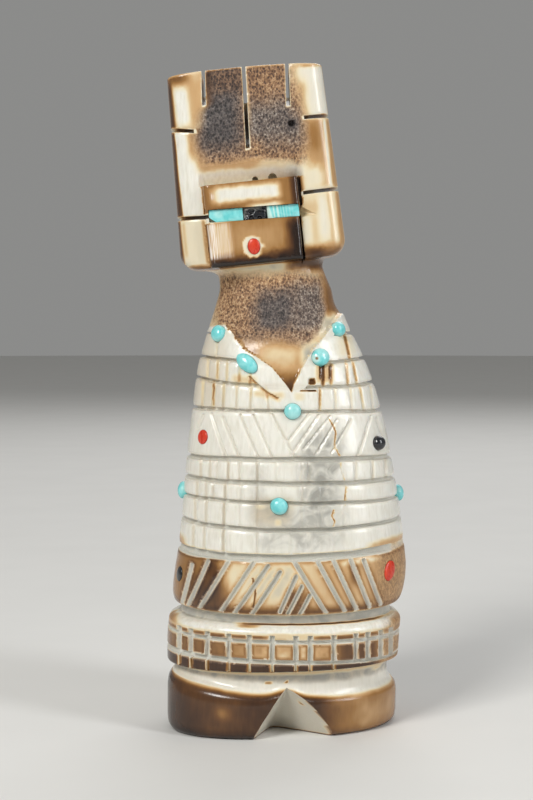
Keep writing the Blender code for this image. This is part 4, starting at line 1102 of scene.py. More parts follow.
# Tone of the tablet's front, in order: channel, u from and to, w from and to, softness in u and w, amount
HEAD_TONE = (
    ("scorch_and_painted_light", -FAR, FAR, -FAR, FAR, 1, 1, 0.06),
    ("stain_and_painted_light", -FAR, FAR, -FAR, FAR, 1, 1, 0.14),
    ("stain_and_painted_light", -FAR, -5.6, -4.9, 10.0, 0.4, 0.5, 0.02),
    # scorch round the core and how dark it makes the core
    ("scorch_and_painted_light", -6.6, 6.6, 0.3, 8.8, 1.3, 1.0, 0.36),
    ("scorch_and_painted_light", -5.9, -0.8, 2.2, 9.0, 1.3, 1.3, 0.62),
    ("scorch_and_painted_light", -0.2, 6.0, 2.2, 6.8, 0.9, 1.1, 0.26),
    ("scorch_and_painted_light", 3.8, 5.4, 3.4, 5.4, 0.7, 0.8, 0.50),
    # left panel: cream, painted paler down its middle as a painted highlight, with a dark brown edge
    ("scorch_and_painted_light", -FAR, -6.5, -4.8, 4.7, 0.9, 0.6, 0.02),
    ("scorch_and_painted_light", -7.0, -6.2, 1.6, 4.9, 0.5, 0.9, 0.36),
    ("scorch_and_painted_light", -FAR, -8.45, -FAR, 4.9, 0.16, 0.2, 0.74),
    # top left block, tan and brown at its edges, with a painted highlight down its left part
    ("scorch_and_painted_light", -FAR, -4.7, 4.75, FAR, 0.1, 0.1, 0.24),
    ("scorch_and_painted_light", -6.6, -4.5, 5.2, 10.4, 0.7, 0.9, 0.30),
    ("scorch_and_painted_light", -7.95, -6.55, 5.4, 9.4, 0.40, 0.7, 0.01),
    ("scorch_and_painted_light", -FAR, -8.25, 4.8, FAR, 0.22, 0.2, 0.76),
    ("scorch_and_painted_light", -FAR, -6.2, 10.05, FAR, 0.9, 0.5, 0.56),
    # blocks between the slots, above the core
    ("scorch_and_painted_light", -4.7, -0.3, 8.4, FAR, 0.3, 1.2, 0.86),
    ("scorch_and_painted_light", -0.3, 4.7, 7.4, FAR, 0.3, 1.2, 0.56),
    ("scorch_and_painted_light", 1.6, 4.5, 6.8, 9.6, 0.8, 1.0, 0.36),
    # right of the third slot
    ("scorch_and_painted_light", 4.7, 6.0, 4.8, FAR, 0.9, 0.9, 0.26),
    ("scorch_and_painted_light", 7.0, FAR, 5.1, 10.2, 0.9, 0.6, 0.06),
    ("scorch_and_painted_light", 6.0, FAR, 10.40, FAR, 0.9, 0.34, 0.44),
    # right panel, with a painted highlight in a thin upright line near its right edge
    ("scorch_and_painted_light", 5.8, FAR, -3.1, 4.6, 1.0, 0.5, 0.36),
    ("scorch_and_painted_light", 6.3, 7.6, 1.2, 4.2, 0.6, 0.9, 0.46),
    ("scorch_and_painted_light", 5.0, 7.6, -3.3, -0.6, 0.9, 0.9, 0.13),
    ("scorch_and_painted_light", 8.10, 8.40, -3.2, 4.5, 0.18, 0.4, 0.04),
    # golden fringe under the core, and the cream ledge below it, painted paler as painted light
    ("scorch_and_painted_light", -6.0, 0.9, -0.15, 1.4, 0.8, 0.6, 0.34),
    ("scorch_and_painted_light", 0.9, 5.6, -0.6, 0.6, 0.9, 0.5, 0.20),
    ("scorch_and_painted_light", -5.9, 5.0, -1.62, -0.35, 0.5, 0.5, 0.02),
    ("stain_and_painted_light", -5.9, 5.2, -1.7, 0.1, 0.4, 0.3, 0.0),
    # forehead
    ("scorch_and_painted_light", -6.1, 5.0, -4.7, -1.62, 0.04, 0.02, 0.50),
    ("scorch_and_painted_light", -4.85, 2.5, -3.75, -2.10, 0.9, 0.55, 0.03),
    ("stain_and_painted_light", -5.1, 2.9, -4.3, -1.7, 0.3, 0.2, 0.03),
    ("scorch_and_painted_light", -5.5, -2.2, -4.8, -4.36, 0.9, 0.30, 0.62),
    ("scorch_and_painted_light", -1.0, 2.6, -4.8, -4.2, 0.9, 0.3, 0.12),
    ("scorch_and_painted_light", 0.9, 3.6, -1.86, -1.5, 1.2, 0.22, 0.44),
    ("scorch_and_painted_light", 3.0, 5.0, -4.8, -1.6, 0.70, 0.1, 0.48),
    ("scorch_and_painted_light", 3.8, 5.0, -4.8, -1.6, 0.35, 0.1, 0.78),
    # lower face
    ("scorch_and_painted_light", -6.1, 4.7, -FAR, -5.85, 0.04, 0.05, 0.46),
    ("scorch_and_painted_light", -3.4, 2.3, -9.2, -6.5, 1.4, 1.1, 0.37),
    ("scorch_and_painted_light", -5.75, -3.4, -9.5, -5.9, 0.4, 0.5, 0.24),
    ("scorch_and_painted_light", -FAR, 4.7, -FAR, -9.95, 0.3, 0.75, 0.96),
    ("scorch_and_painted_light", 3.20, 4.7, -FAR, -6.3, 1.15, 0.8, 1.0),
    ("scorch_and_painted_light", -6.1, -5.78, -FAR, -5.9, 0.08, 0.1, 0.66),
    # left lower block
    ("scorch_and_painted_light", -FAR, -6.02, -FAR, -5.05, 0.04, 0.1, 0.12),
    ("stain_and_painted_light", -FAR, -6.02, -FAR, -5.05, 0.04, 0.1, 0.34),
    ("scorch_and_painted_light", -6.40, -6.02, -10.2, -5.2, 0.16, 0.2, 0.36),
    ("scorch_and_painted_light", -8.70, -8.30, -9.2, -5.3, 0.20, 0.4, 0.24),
    ("scorch_and_painted_light", -FAR, -8.86, -FAR, -4.9, 0.18, 0.2, 0.72),
    ("scorch_and_painted_light", -FAR, -6.02, -FAR, -10.35, 0.1, 0.28, 0.56),
    # right lower block
    ("scorch_and_painted_light", 4.50, FAR, -FAR, -3.5, 0.04, 0.1, 0.18),
    ("scorch_and_painted_light", 4.60, 5.55, -8.9, -6.2, 0.4, 0.6, 0.12),
    ("scorch_and_painted_light", 4.60, 6.80, -5.9, -4.6, 0.6, 0.5, 0.24),
    ("scorch_and_painted_light", 5.75, 6.30, -9.2, -6.4, 0.45, 0.8, 0.22),
    ("scorch_and_painted_light", 6.65, 7.5, -8.7, -4.0, 0.6, 0.7, 0.07),
    ("scorch_and_painted_light", 7.70, 8.00, -9.2, -3.8, 0.22, 0.5, 0.26),
    ("scorch_and_painted_light", 4.50, FAR, -FAR, -9.6, 0.2, 0.8, 0.58),
    ("scorch_and_painted_light", 4.9, 6.8, -FAR, -9.8, 0.8, 0.5, 0.78),
    ("scorch_and_painted_light", 8.65, FAR, -FAR, 4.6, 0.20, 0.4, 0.36),
    # painted shade in the hollow to the right of the face, darkest in the gap beside the lower face
    ("scorch_and_painted_light", 4.36, 4.55, -FAR, -5.9, 0.03, 0.05, 0.96),
    ("scorch_and_painted_light", 4.48, 4.88, -4.8, -1.62, 0.04, 0.05, 0.74),
)
# How dark the spongy core of the tablet is
HEAD_CORE = (
    ("char", -FAR, FAR, -FAR, FAR, 1, 1, 0.46),
    ("char", -5.9, -1.0, 2.4, 8.7, 1.4, 1.4, 1.0),
    ("char", -0.3, 6.0, 2.6, 6.7, 1.2, 1.2, 0.90),
    ("char", -FAR, FAR, -FAR, 1.3, 1, 1.0, 0.10),
    ("char", -0.6, 1.0, 1.2, 2.8, 0.8, 0.8, 0.10),
    ("char", -4.7, -0.2, 9.0, FAR, 0.3, 1.2, 0.42),
    ("char", -0.2, 4.7, 7.8, FAR, 0.3, 1.1, 0.14),
    ("char", 4.9, FAR, 5.4, FAR, 0.8, 1.0, 0.08),
    ("char", 6.0, FAR, -FAR, FAR, 0.8, 1, 0.14),
)
# Tone by level all round the body, then of the dress's front and of the neck by x and level
BAND_TONE = (
    ("stain_and_painted_light", -FAR, FAR, 4.9, 7.36, 1, 0.1, 0.12),
    # painted shadow under the belt: the upper cove greyed and stained
    ("grey", -FAR, FAR, 6.1, 7.36, 1, 0.35, 1.0),
    ("stain_and_painted_light", -FAR, FAR, 6.1, 7.36, 1, 0.35, 0.60),
    ("scorch_and_painted_light", -FAR, FAR, 6.9, 7.36, 1, 0.25, 0.24),
    ("scorch_and_painted_light", -FAR, FAR, 7.37, 11.36, 1, 0.08, 0.62),
    ("scorch_and_painted_light", -FAR, FAR, 7.37, 8.3, 1, 0.08, 0.80),
    ("scorch_and_painted_light", -FAR, FAR, 11.34, 11.60, 1, 0.24, 0.24),
    # the cut under the hem: chalky floor, greyed and stained as painted shade
    ("fresh", -FAR, FAR, 12.55, 13.55, 1, 0.06, 0.40),
    ("stain_and_painted_light", -FAR, FAR, 12.40, 13.55, 1, 0.06, 0.40),
    ("grey", -FAR, FAR, 12.40, 13.55, 1, 0.06, 1.0),
    ("scorch_and_painted_light", -FAR, FAR, 13.62, 19.38, 1, 0.12, 0.26),
    ("scorch_and_painted_light", -FAR, FAR, 13.62, 14.5, 1, 0.45, 0.50),
    ("scorch_and_painted_light", -FAR, FAR, 20.14, 20.32, 1, 0.08, 0.22),
    ("stain_and_painted_light", -FAR, FAR, 20.2, 45.6, 1, 0.2, 0.03),
)
FRONT_TONE = (
    # cove
    ("scorch_and_painted_light", -1.95, -1.15, 5.90, 6.12, 0.20, 0.10, 0.55),
    ("scorch_and_painted_light", 0.18, 0.52, 6.00, 6.18, 0.12, 0.08, 0.60),
    ("scorch_and_painted_light", 9.9, 10.9, 6.5, 6.9, 0.4, 0.25, 0.24),
    # belt
    ("scorch_and_painted_light", -FAR, -6.0, 8.6, 10.5, 2.0, 0.2, 0.66),
    ("scorch_and_painted_light", 6.4, 10.2, 8.6, 10.5, 0.5, 0.2, 0.70),
    ("scorch_and_painted_light", 10.4, FAR, 7.4, 11.4, 0.7, 0.2, 0.40),
    ("scorch_and_painted_light", -1.6, 3.4, 10.9, 11.6, 0.8, 0.15, 0.20),
    # roll above the belt, and a dark line of painted shade where the roll meets the cut under the hem
    ("scorch_and_painted_light", -FAR, -11.6, 11.5, 12.4, 1.0, 0.3, 0.46),
    ("scorch_and_painted_light", 12.0, FAR, 11.5, 12.4, 0.8, 0.3, 0.36),
    ("scorch_and_painted_light", -4.9, -2.7, 12.16, 12.40, 0.9, 0.20, 0.50),
    ("scorch_and_painted_light", -4.4, 11.0, 12.37, 12.50, 2.0, 0.05, 0.85),
    # hem
    ("scorch_and_painted_light", -FAR, -7.0, 13.7, 19.3, 1.4, 0.2, 0.50),
    ("scorch_and_painted_light", -9.8, -6.4, 13.9, 17.2, 1.0, 1.2, 0.74),
    ("scorch_and_painted_light", -8.2, -7.0, 16.7, 19.2, 0.4, 0.8, 0.72),
    ("scorch_and_painted_light", -5.0, 2.2, 15.4, 19.0, 1.8, 0.9, 0.12),
    ("stain_and_painted_light", -5.0, 3.5, 14.0, 19.3, 1.6, 0.5, 0.60),
    ("grey", -3.0, 2.6, 15.2, 19.3, 1.2, 0.8, 0.70),
    ("scorch_and_painted_light", 0.2, 2.6, 13.9, 16.4, 0.8, 0.9, 0.54),
    ("scorch_and_painted_light", 4.0, 9.0, 14.8, 19.3, 1.5, 0.8, 0.31),
    ("scorch_and_painted_light", 7.2, 8.2, 16.7, 19.1, 0.5, 1.0, 0.52),
    ("scorch_and_painted_light", 9.6, FAR, 13.9, 19.4, 0.8, 0.3, 0.37),
    ("scorch_and_painted_light", 6.5, 10.4, 18.7, 19.4, 0.8, 0.25, 0.14),
    # first row
    ("scorch_and_painted_light", -FAR, -10.9, 19.7, 21.0, 0.7, 0.6, 0.42),
    ("scorch_and_painted_light", 9.6, FAR, 20.0, 20.8, 1.2, 0.5, 0.34),
    # stained places of the dress
    ("stain_and_painted_light", -3.2, 1.0, 23.2, 26.2, 0.9, 0.8, 0.62),
    ("scorch_and_painted_light", -2.9, -1.9, 24.9, 25.7, 0.4, 0.3, 0.16),
    ("scorch_and_painted_light", -0.9, -0.1, 23.2, 23.9, 0.3, 0.3, 0.18),
    ("stain_and_painted_light", -FAR, -8.5, 40.9, 44.6, 1.2, 0.6, 0.55),
    ("stain_and_painted_light", -FAR, -6.5, 35.7, 44.5, 1.5, 0.8, 0.40),
    ("scorch_and_painted_light", -3.2, 0.2, 36.9, 37.6, 0.5, 0.3, 0.20),
    ("scorch_and_painted_light", -5.6, -2.7, 38.0, 39.2, 0.5, 0.4, 0.20),
    ("scorch_and_painted_light", 1.2, 2.4, 36.7, 37.6, 0.4, 0.3, 0.16),
    ("scorch_and_painted_light", 3.6, 5.6, 38.6, 40.9, 0.3, 0.4, 0.26),
    ("scorch_and_painted_light", 6.0, 8.2, 41.0, 43.9, 0.8, 0.6, 0.14),
    ("grey", 2.0, 6.4, 21.4, 33.2, 1.2, 1.6, 1.0),
    ("grey", -2.2, 4.4, 20.4, 24.6, 1.8, 1.0, 0.75),
    ("grey", -3.6, -1.6, 22.8, 29.8, 0.8, 1.0, 0.35),
    ("grey", 2.6, 6.0, 14.2, 18.8, 1.2, 1.0, 0.20),
)
NECK_TONE = (
    ("scorch_and_painted_light", -FAR, FAR, 37.0, 52.5, 1, 0.2, 0.38),
    ("scorch_and_painted_light", -FAR, FAR, 37.0, 39.0, 1, 1.1, 0.70),
    ("scorch_and_painted_light", -2.4, 2.0, 40.6, 42.6, 1.6, 1.3, 0.19),
    ("scorch_and_painted_light", -FAR, -3.0, 40.0, 43.4, 1.0, 0.8, 0.52),
    ("scorch_and_painted_light", 1.2, 1.8, 37.4, 39.4, 0.3, 0.5, 0.55),
    ("grey", 2.2, 6.2, 39.8, 45.8, 0.6, 0.9, 1.0),
    ("scorch_and_painted_light", 2.2, 6.2, 39.8, 45.6, 0.6, 0.9, 0.06),
    ("stain_and_painted_light", 2.2, 6.2, 39.8, 45.6, 0.6, 0.9, 0.55),
    ("scorch_and_painted_light", 4.6, FAR, 45.8, 52.2, 0.7, 0.6, 0.56),
    ("scorch_and_painted_light", -FAR, -6.4, 44.0, 50.0, 0.7, 0.8, 0.46),
    # painted shade under the chin: grey to the left, dark brown to the right
    ("grey", -8.0, 0.4, 50.7, 52.9, 1.5, 0.5, 1.0),
    ("scorch_and_painted_light", -8.0, 0.4, 50.7, 52.9, 1.5, 0.5, 0.10),
    ("scorch_and_painted_light", 0.9, FAR, 50.9, 52.9, 1.5, 0.5, 0.72),
)
NECK_CORE = (
    ("char", -FAR, FAR, -FAR, FAR, 1, 1, 0.30),
    ("scorch_and_painted_light", -FAR, 4.4, 42.6, 50.9, 0.8, 0.8, 0.22),
    ("char", -3.4, 2.0, 44.2, 48.8, 1.5, 1.4, 0.95),
    ("scorch_and_painted_light", -3.2, 1.0, 44.3, 48.6, 1.4, 1.5, 0.55),
    ("char", 1.2, 4.8, 43.8, 49.4, 1.0, 1.2, 0.85),
    ("char", -FAR, -3.9, 43.6, 50.0, 1.2, 1.0, 0.16),
    ("char", -FAR, FAR, 41.4, 43.9, 1, 0.9, 0.40),
    ("scorch_and_painted_light", -FAR, 1.8, 42.6, 43.7, 1, 0.9, 0.42),
    ("char", -FAR, FAR, 49.6, FAR, 1, 0.8, 0.16),
)


def painted(points):
    """The tone of the antler at points: scorch, stains, core, char, pits, fresh cuts and grey marbling, with
    painted shade and highlights laid into some of them.
    """
    long_grain = np.array((1.0, 1.0, 0.35))
    noise_a = 0.5 * (cloud(points * long_grain, 0.9, 21) + 0.5 * cloud(points * long_grain, 0.35, 22) - 0.75)
    noise_b = 0.5 * (cloud(points, 0.9, 23) + 0.5 * cloud(points, 0.3, 24) - 0.75)
    u, w = in_head(points)
    level, _ = in_body(points)
    x = points[..., 0]
    front = step(0.5, -1.5, points[..., 1])
    on_head = step(-11.05, -10.72, w)
    head = {name: np.zeros(len(points)) for name in CHANNELS}
    body = {name: np.zeros(len(points)) for name in CHANNELS}
    paint_head(head, points, u, w, noise_a, noise_b)
    paint_body(body, points, x, level, front, noise_a, noise_b)
    tone = {name: body[name] + (head[name] - body[name]) * on_head for name in CHANNELS}
    return {name: np.clip(value, 0.0, 1.0) for name, value in tone.items()}


def paint_head(tone, points, u, w, noise_a, noise_b):
    """Tone of the tablet: painted front, brown left side, golden right side and a plainer ivory back."""
    y = points[..., 1]
    top = HEAD_HALF_HEIGHT + top_rise(u, HEAD_HALF_HEIGHT)
    edge = np.minimum(head_half_width(w) - np.abs(u), top - w)
    low = w + HEAD_HALF_HEIGHT
    scorch = np.exp(-np.maximum(np.minimum(edge, low * 0.8), 0.0) / 0.9)
    tone["scorch_and_painted_light"] += 0.06 + 0.36 * scorch
    tone["stain_and_painted_light"] += 0.25
    side = step(-4.3, -3.6, y) * step(3.4, 2.0, y)
    to_left, to_right = step(-8.5, -8.8, u), step(8.4, 8.7, u)
    tone["scorch_and_painted_light"] += side * (to_left * (0.60 - tone["scorch_and_painted_light"]) + to_right * (0.24 - tone["scorch_and_painted_light"]))
    front = step(-2.9, -3.3, y)
    rim = np.maximum(slot_nearness(u, w), step(-0.30, -0.12, w - top))
    layer(HEAD_TONE, tone, u, w, noise_a, noise_b, front)
    on_block = step(-5.92, -5.75, u) * step(-10.0, -9.6, w)
    scratched = on_block * (0.35 + 0.65 * step(-4.5, -5.2, u)) * step(-3.0, -3.7, u) * step(-5.9, -6.1, w)
    # sheen is a painted highlight on the forehead's left end, laid in with the buffing scratches
    sheen = 0.8 * step(0.55, 0.1, np.hypot((u + 4.95) / 0.55, (w + 2.95) / 1.0))
    tone["scratches_and_highlight"] += front * np.maximum(scratched, sheen * step(-4.6, -4.4, w))
    uneven = 0.25 * (cloud(points, 0.4 * MM, 32) - 0.5)
    off = np.hypot((u - MOUTH_PLACE[0] + 0.12) / 1.0, (w - MOUTH_PLACE[1]) / 1.15) + uneven
    halo = step(1.16, 0.98, off)
    tone["scorch_and_painted_light"] += (0.06 - tone["scorch_and_painted_light"]) * 0.8 * halo * front
    core = spongy_on_head(u + 0.9 * noise_a, w + 0.9 * noise_b) * front
    layer(HEAD_CORE, tone, u, w, noise_a, noise_b, front)
    tone["core"] += core * (1.0 - 0.85 * rim)
    tone["pit"] += pit_shade(points) * core
    tone["scorch_and_painted_light"] += front * rim * (0.20 - tone["scorch_and_painted_light"]) * 0.7
    # slot walls pale tan, darkened deeper in as painted shade
    in_slot = slot_walls(u, w)
    deep = step(0.05, 1.0, y + HEAD_FRONT) * step(2.8, 1.5, y) * step(0.05, 0.8, edge)
    tone["scorch_and_painted_light"] += in_slot * (0.10 + 0.34 * deep - tone["scorch_and_painted_light"])
    tone["core"] *= 1.0 - in_slot
    # the deep pore: charred core, painted black inside as painted shade in the hole
    hole = np.hypot(u - DEEP_PORE[0], w - DEEP_PORE[1])
    tone["char"] += (1.0 - tone["char"]) * (1.0 - step(0.35, 0.6, hole)) * front
    tone["pit"] = np.maximum(tone["pit"], (1.0 - step(0.3, 0.5, hole)) * front)


def slot_walls(u, w):
    """On the walls of the saw slots, just outside half their width, from 0 to 1."""
    reach = WHEEL_WIDTH * MM / 2 + SLOT_WALL
    on_wall = np.zeros(len(u))
    for place, lean, tip, back_tip in TOP_SLOTS:
        aside = np.abs(u - place - lean * (w - HEAD_HALF_HEIGHT))
        on_wall = np.maximum(on_wall, (aside < reach) * (w > min(tip, back_tip) - 0.2))
    for place, lean, tip, _ in SIDE_SLOTS:
        way = math.copysign(1.0, tip[0])
        aside = np.abs(w - place - lean * (u - SIDE_SLOT_ROOT * way))
        on_wall = np.maximum(on_wall, (aside < reach) * ((u - tip[0] * 0.95) * way > 0))
    return on_wall


def pit_shade(points):
    """How deep in a pit of the spongy core points lie, from 0 on the ridges to 1."""
    places = points * np.array((1.0, 0.0, 0.8)) + np.array((0.0, -HEAD_FRONT, 0.0))
    return 1.0 - step(0.20, 0.60, nearest_pit(places, PORE_SIZE * MM, 11))


def paint_body(tone, points, x, level, front, noise_a, noise_b):
    """Tone of the dress, the neck and the moccasins: bands all round, then the front by x and level."""
    paint_moccasins(tone, points, x, level, noise_b)
    layer(BAND_TONE, tone, x, level, noise_a, noise_b, np.ones(len(points)))
    layer(FRONT_TONE, tone, x, level, noise_a, noise_b, front)
    to_grooves = [np.abs(level - g[0]) - g[1] * MM / 2 for g in GROOVES]
    half = BELT_CUT_WIDTH * MM / 2 * np.where(level < LOWER_GROOVE, BELT_STUB_SHARE, 1.0)
    to_belt_cut = np.min([np.abs(x - place) for place in BELT_CUTS], axis=0) - half
    to_hem_cut = nearest_line(x, level, HEM_CUTS) - HEM_CUT_WIDTH * MM / 2
    hem = step(13.6, 13.75, level) * step(19.42, 19.28, level)
    hem_edge = np.maximum(rim_of(19.32 - level, 0.26), rim_of(level - 13.7, 0.5))
    hem_edge = np.maximum(rim_of(to_hem_cut, 0.26) * front, hem_edge)
    tone["scorch_and_painted_light"] += hem * (0.26 * hem_edge - 0.04) * (0.75 + 0.5 * noise_a)
    paint_belt(tone, x, level, front, to_grooves, to_belt_cut, noise_b)
    paint_lines(tone, x, level, front, np.min(to_grooves, axis=0), noise_a)
    # chalky floors of the saw cuts, of which the belt's short ones are only pale, and of the cut below
    belt_cut = (level < BELT_TOP) * (level > BELT_FOOT) * ((x < BELT_STUBS_END) | (level > LOWER_GROOVE))
    stub = front * belt_cut * (level < LOWER_GROOVE) * step(0.08, -0.04, to_belt_cut)
    tone["scorch_and_painted_light"] += (0.10 - tone["scorch_and_painted_light"]) * stub
    fresh = 0.80 * front * belt_cut * (level > LOWER_GROOVE) * step(0.06, -0.06, to_belt_cut)
    fresh = np.maximum(fresh, 0.85 * front * hem * step(0.07, -0.10, to_hem_cut))
    for k, (_, _, _, share) in enumerate(GROOVES):
        sawn = share * step(0.06, -0.06, to_grooves[k]) * step(0.1, 0.4, groove_share(k, x))
        fresh = np.maximum(fresh, sawn)
    on_notch = notch_walls(points)
    fresh = np.maximum(fresh, 0.45 * on_notch)
    tone["fresh"] = np.maximum(tone["fresh"], fresh)
    tone["scorch_and_painted_light"] *= 1.0 - np.clip(fresh * 1.5, 0.0, 1.0)
    # a brown spot on the wall of the cut between the moccasins
    spot = step(1.0, 0.4, np.hypot((x - 1.95) / 0.22, (points[..., 2] - 3.85) / 0.62)) * on_notch
    tone["scorch_and_painted_light"] *= 1.0 - on_notch
    tone["scorch_and_painted_light"] += 0.55 * spot
    tone["fresh"] *= 1.0 - spot
    # painted shade: the walls of the cut between the moccasins darkened with stain
    tone["stain_and_painted_light"] += 0.35 * on_notch
    # the core, ground open at the right ends of the hem and of the belt
    rough = step(9.8, 11.0, x + 0.8 * noise_a) * step(12.9, 13.6, level) * step(20.4, 19.6, level)
    rough = np.maximum(rough, step(10.8, 11.8, x + noise_a) * step(7.4, 8.0, level) * step(12.6, 11.8, level))
    tone["core"] += 0.55 * rough * (1.0 - tone["fresh"])
    tone["pit"] += rough * pit_shade(points)
    paint_neck(tone, points, x, level, front, noise_a, noise_b)


def paint_belt(tone, x, level, front, to_grooves, to_cut, noise_b):
    """Pale hearts of the belt's blocks between its two grooves, and light lines along their edges."""
    belt = step(7.33, 7.42, level) * step(11.55, 11.42, level)
    blocks = (level > LOWER_GROOVE) * (level < UPPER_GROOVE) * front
    in_block = np.minimum(to_cut, np.minimum(to_grooves[0], to_grooves[1]))
    heart = step(-0.05, 0.42, in_block) * (0.84 + 0.9 * noise_b) * blocks
    pale = 0.26 + 0.16 * np.exp(-((x - 0.6) / 3.6) ** 2)
    pale = pale - 0.24 * step(5.0, 7.0, x) - 0.12 * step(-5.0, -8.0, x)
    tone["scorch_and_painted_light"] -= belt * pale * heart
    below_groove = UPPER_GROOVE - GROOVES[1][1] * MM / 2 - level
    rim_line = np.maximum(rim_of(to_cut, 0.07) * (level > LOWER_GROOVE) * belt * front,
                          rim_of(below_groove, 0.07) * (level < 10.5) * belt)
    tone["scorch_and_painted_light"] += (0.18 - tone["scorch_and_painted_light"]) * 0.45 * step(10.8, 9.2, x) * rim_line


def paint_lines(tone, x, level, front, to_groove, noise_a):
    """Stain in the grooves, the chevrons and the upright cuts, dark cracks and the lines of the lapels."""
    tone["stain_and_painted_light"] += 0.18 * rim_of(to_groove, 0.22) * step(20.0, 21.0, level) * (0.8 + noise_a)
    chevron = nearest_line(x, level, CHEVRON_CUTS)
    tone["stain_and_painted_light"] += 0.16 * front * step(0.34, 0.10, chevron) * (0.8 + noise_a)
    upright = upright_depths(x, level) / (ROW_CUT_DEPTH * MM)
    tone["stain_and_painted_light"] += 0.42 * front * np.clip(upright, 0.0, 1.0)
    tone["scorch_and_painted_light"] += 0.20 * front * np.clip(upright, 0.0, 1.0) * step(35.0, 37.5, level)
    tone["scorch_and_painted_light"] += 1.1 * front * np.clip(upright - 1.02, 0.0, 0.4) * step(33.0, 36.0, level)
    cracked = step(0.135, 0.05, nearest_line(x, level, straight_pieces(CRACKS)))
    cracked = cracked * np.clip(0.6 + 2.2 * noise_a, 0.1, 1.0)
    tone["scorch_and_painted_light"] += (0.88 - tone["scorch_and_painted_light"]) * 0.9 * cracked * front
    stained = step(0.06, 0.24, lapel_depths(x, level)) * front
    tone["scorch_and_painted_light"] += (0.36 + 0.30 * (x > 2.7) - tone["scorch_and_painted_light"]) * stained
    below_lapel = rim_of(nearest_line(x, level, straight_pieces(LAPEL_CUTS)) - 0.1, 0.30) * front * (x < 0.5)
    tone["scorch_and_painted_light"] = np.maximum(tone["scorch_and_painted_light"], 0.24 * below_lapel * (1.0 - on_lapels(x, level)))


def paint_moccasins(tone, points, x, level, noise_b):
    """Brown moccasins, darker at the left and at the sole, in soft blotches, with a gold upper edge."""
    edge = girth(x, level) + 0.05 * noise_b
    below = step(5.9, 5.4, level) * step(1.00, 0.45, edge)
    below = np.maximum(below, step(4.4, 4.0, level))
    blotch = cloud(points, 2.6, 81) + 0.5 * cloud(points, 1.0, 82) - 0.75
    brown = 0.77 - 0.33 * step(2.5, 8.0, x) + 0.14 * blotch + 0.10 * step(1.2, 0.1, level)
    brown += 0.12 * np.exp(-((x - 3.4) / 1.2) ** 2) + 0.06 * step(-10.5, -12.5, x)
    glow = 0.20 * np.exp(-((x + 6.4) / 0.8) ** 2 - ((level - 2.5) / 0.7) ** 2)
    glow += 0.06 * np.exp(-((x + 7.0) / 3.0) ** 2 - ((level - 2.6) / 1.4) ** 2)
    glow += 0.10 * np.exp(-((x - 9.4) / 1.8) ** 2 - ((level - 2.2) / 1.3) ** 2)
    glow += 0.30 * step(0.25, 0.62, edge) * step(2.0, 4.0, level)
    tone["scorch_and_painted_light"] += (brown - glow - tone["scorch_and_painted_light"]) * below
    tone["stain_and_painted_light"] += 0.1 * below


def notch_walls(points):
    """On the walls of the cut between the moccasins, from 0 to 1: inside the skin there."""
    level, across = in_body(points)
    _, deep, _, shift = body_form(np.clip(level, 0.0, BODY_FORM[-1, 0]))
    turn_x = np.clip(np.abs(across), 0.0, 1.0)
    skin = -deep * (1.0 - turn_x ** BODY_ROUNDNESS) ** (1.0 / BODY_ROUNDNESS)
    skin += FEET_SKEW * np.clip(1.0 - level / FEET_SKEW_TOP, 0.0, 1.0) * (points[..., 0] - shift)
    inside = points[..., 1] - skin - girth(points[..., 0], level) * 1.02
    near = (points[..., 0] > -4.5) * (points[..., 0] < 6.0) * (level < 5.9) * (points[..., 1] < 0.0)
    return step(0.03, 0.16, inside) * near * (points[..., 2] > 0.01)


def paint_neck(tone, points, x, level, front, noise_a, noise_b):
    """Tone of the V of the neckline and of the neck above it, where the spongy core shows."""
    bare = np.maximum(in_neckline(x, level), step(DRESS_TOP, DRESS_TOP + 0.2, level)) * front
    behind = step(DRESS_TOP, DRESS_TOP + 0.3, level) * (1.0 - front)
    neck = {name: value * 0.0 for name, value in tone.items()}
    for tables in (NECK_TONE, NECK_CORE):
        layer(tables, neck, x, level, noise_a, noise_b, np.ones(len(points)))
    core = spongy_on_neck(x + 0.9 * noise_a, level + 0.9 * noise_b, front)
    neck["core"] += core
    neck["pit"] += core * pit_shade(points)
    neck["stain_and_painted_light"] += 0.45
    for name in tone:
        tone[name] += (neck[name] - tone[name]) * bare
    # dark lines along the V's edges, darker on the left: scorch, with painted shade at the step
    edge = in_neckline(x, level) * front
    on_edge = step(0.02, 0.15, edge) * step(0.98, 0.8, edge) * (level < DRESS_TOP)
    tone["scorch_and_painted_light"] += (np.where(x < 0.9, 0.72, 0.30) - tone["scorch_and_painted_light"]) * 0.85 * on_edge
    tone["scorch_and_painted_light"] += (0.34 + 0.28 * step(3.0, 5.0, x) - tone["scorch_and_painted_light"]) * behind


# Turns object coordinates, which are in metres, into millimetres for the textures
IN_MM = (1000.0, 1000.0, 1000.0)


def colour(code):
    """An sRGB hex value as linear red, green, blue and alpha."""
    shares = [int(code[k:k + 2], 16) / 255.0 for k in (1, 3, 5)]
    return (*(s / 12.92 if s <= 0.04045 else ((s + 0.055) / 1.055) ** 2.4 for s in shares), 1.0)


def new_material(name):
    """An empty material that ends in one principled shader."""
    made = bpy.data.materials.new(name)
    made.use_nodes = True
    return made, made.node_tree, made.node_tree.nodes["Principled BSDF"]


def add(tree, kind, out=0, links=(), values=(), stops=(), **settings):
    """Adds a node with its settings, values, ramp stops and links, and gives back one of its outputs."""
    made = tree.nodes.new(kind)
    for name, value in settings.items():
        setattr(made, name, value)
    for socket, value in dict(values).items():
        made.inputs[socket].default_value = value
    for socket, source in dict(links).items():
        tree.links.new(source, made.inputs[socket])
    for k, (position, code) in enumerate(dict(stops).items()):
        elements = made.color_ramp.elements
        stop = elements[k] if k < 2 else elements.new(position)
        stop.position = position
        stop.color = colour(code)
    return made.outputs[out]


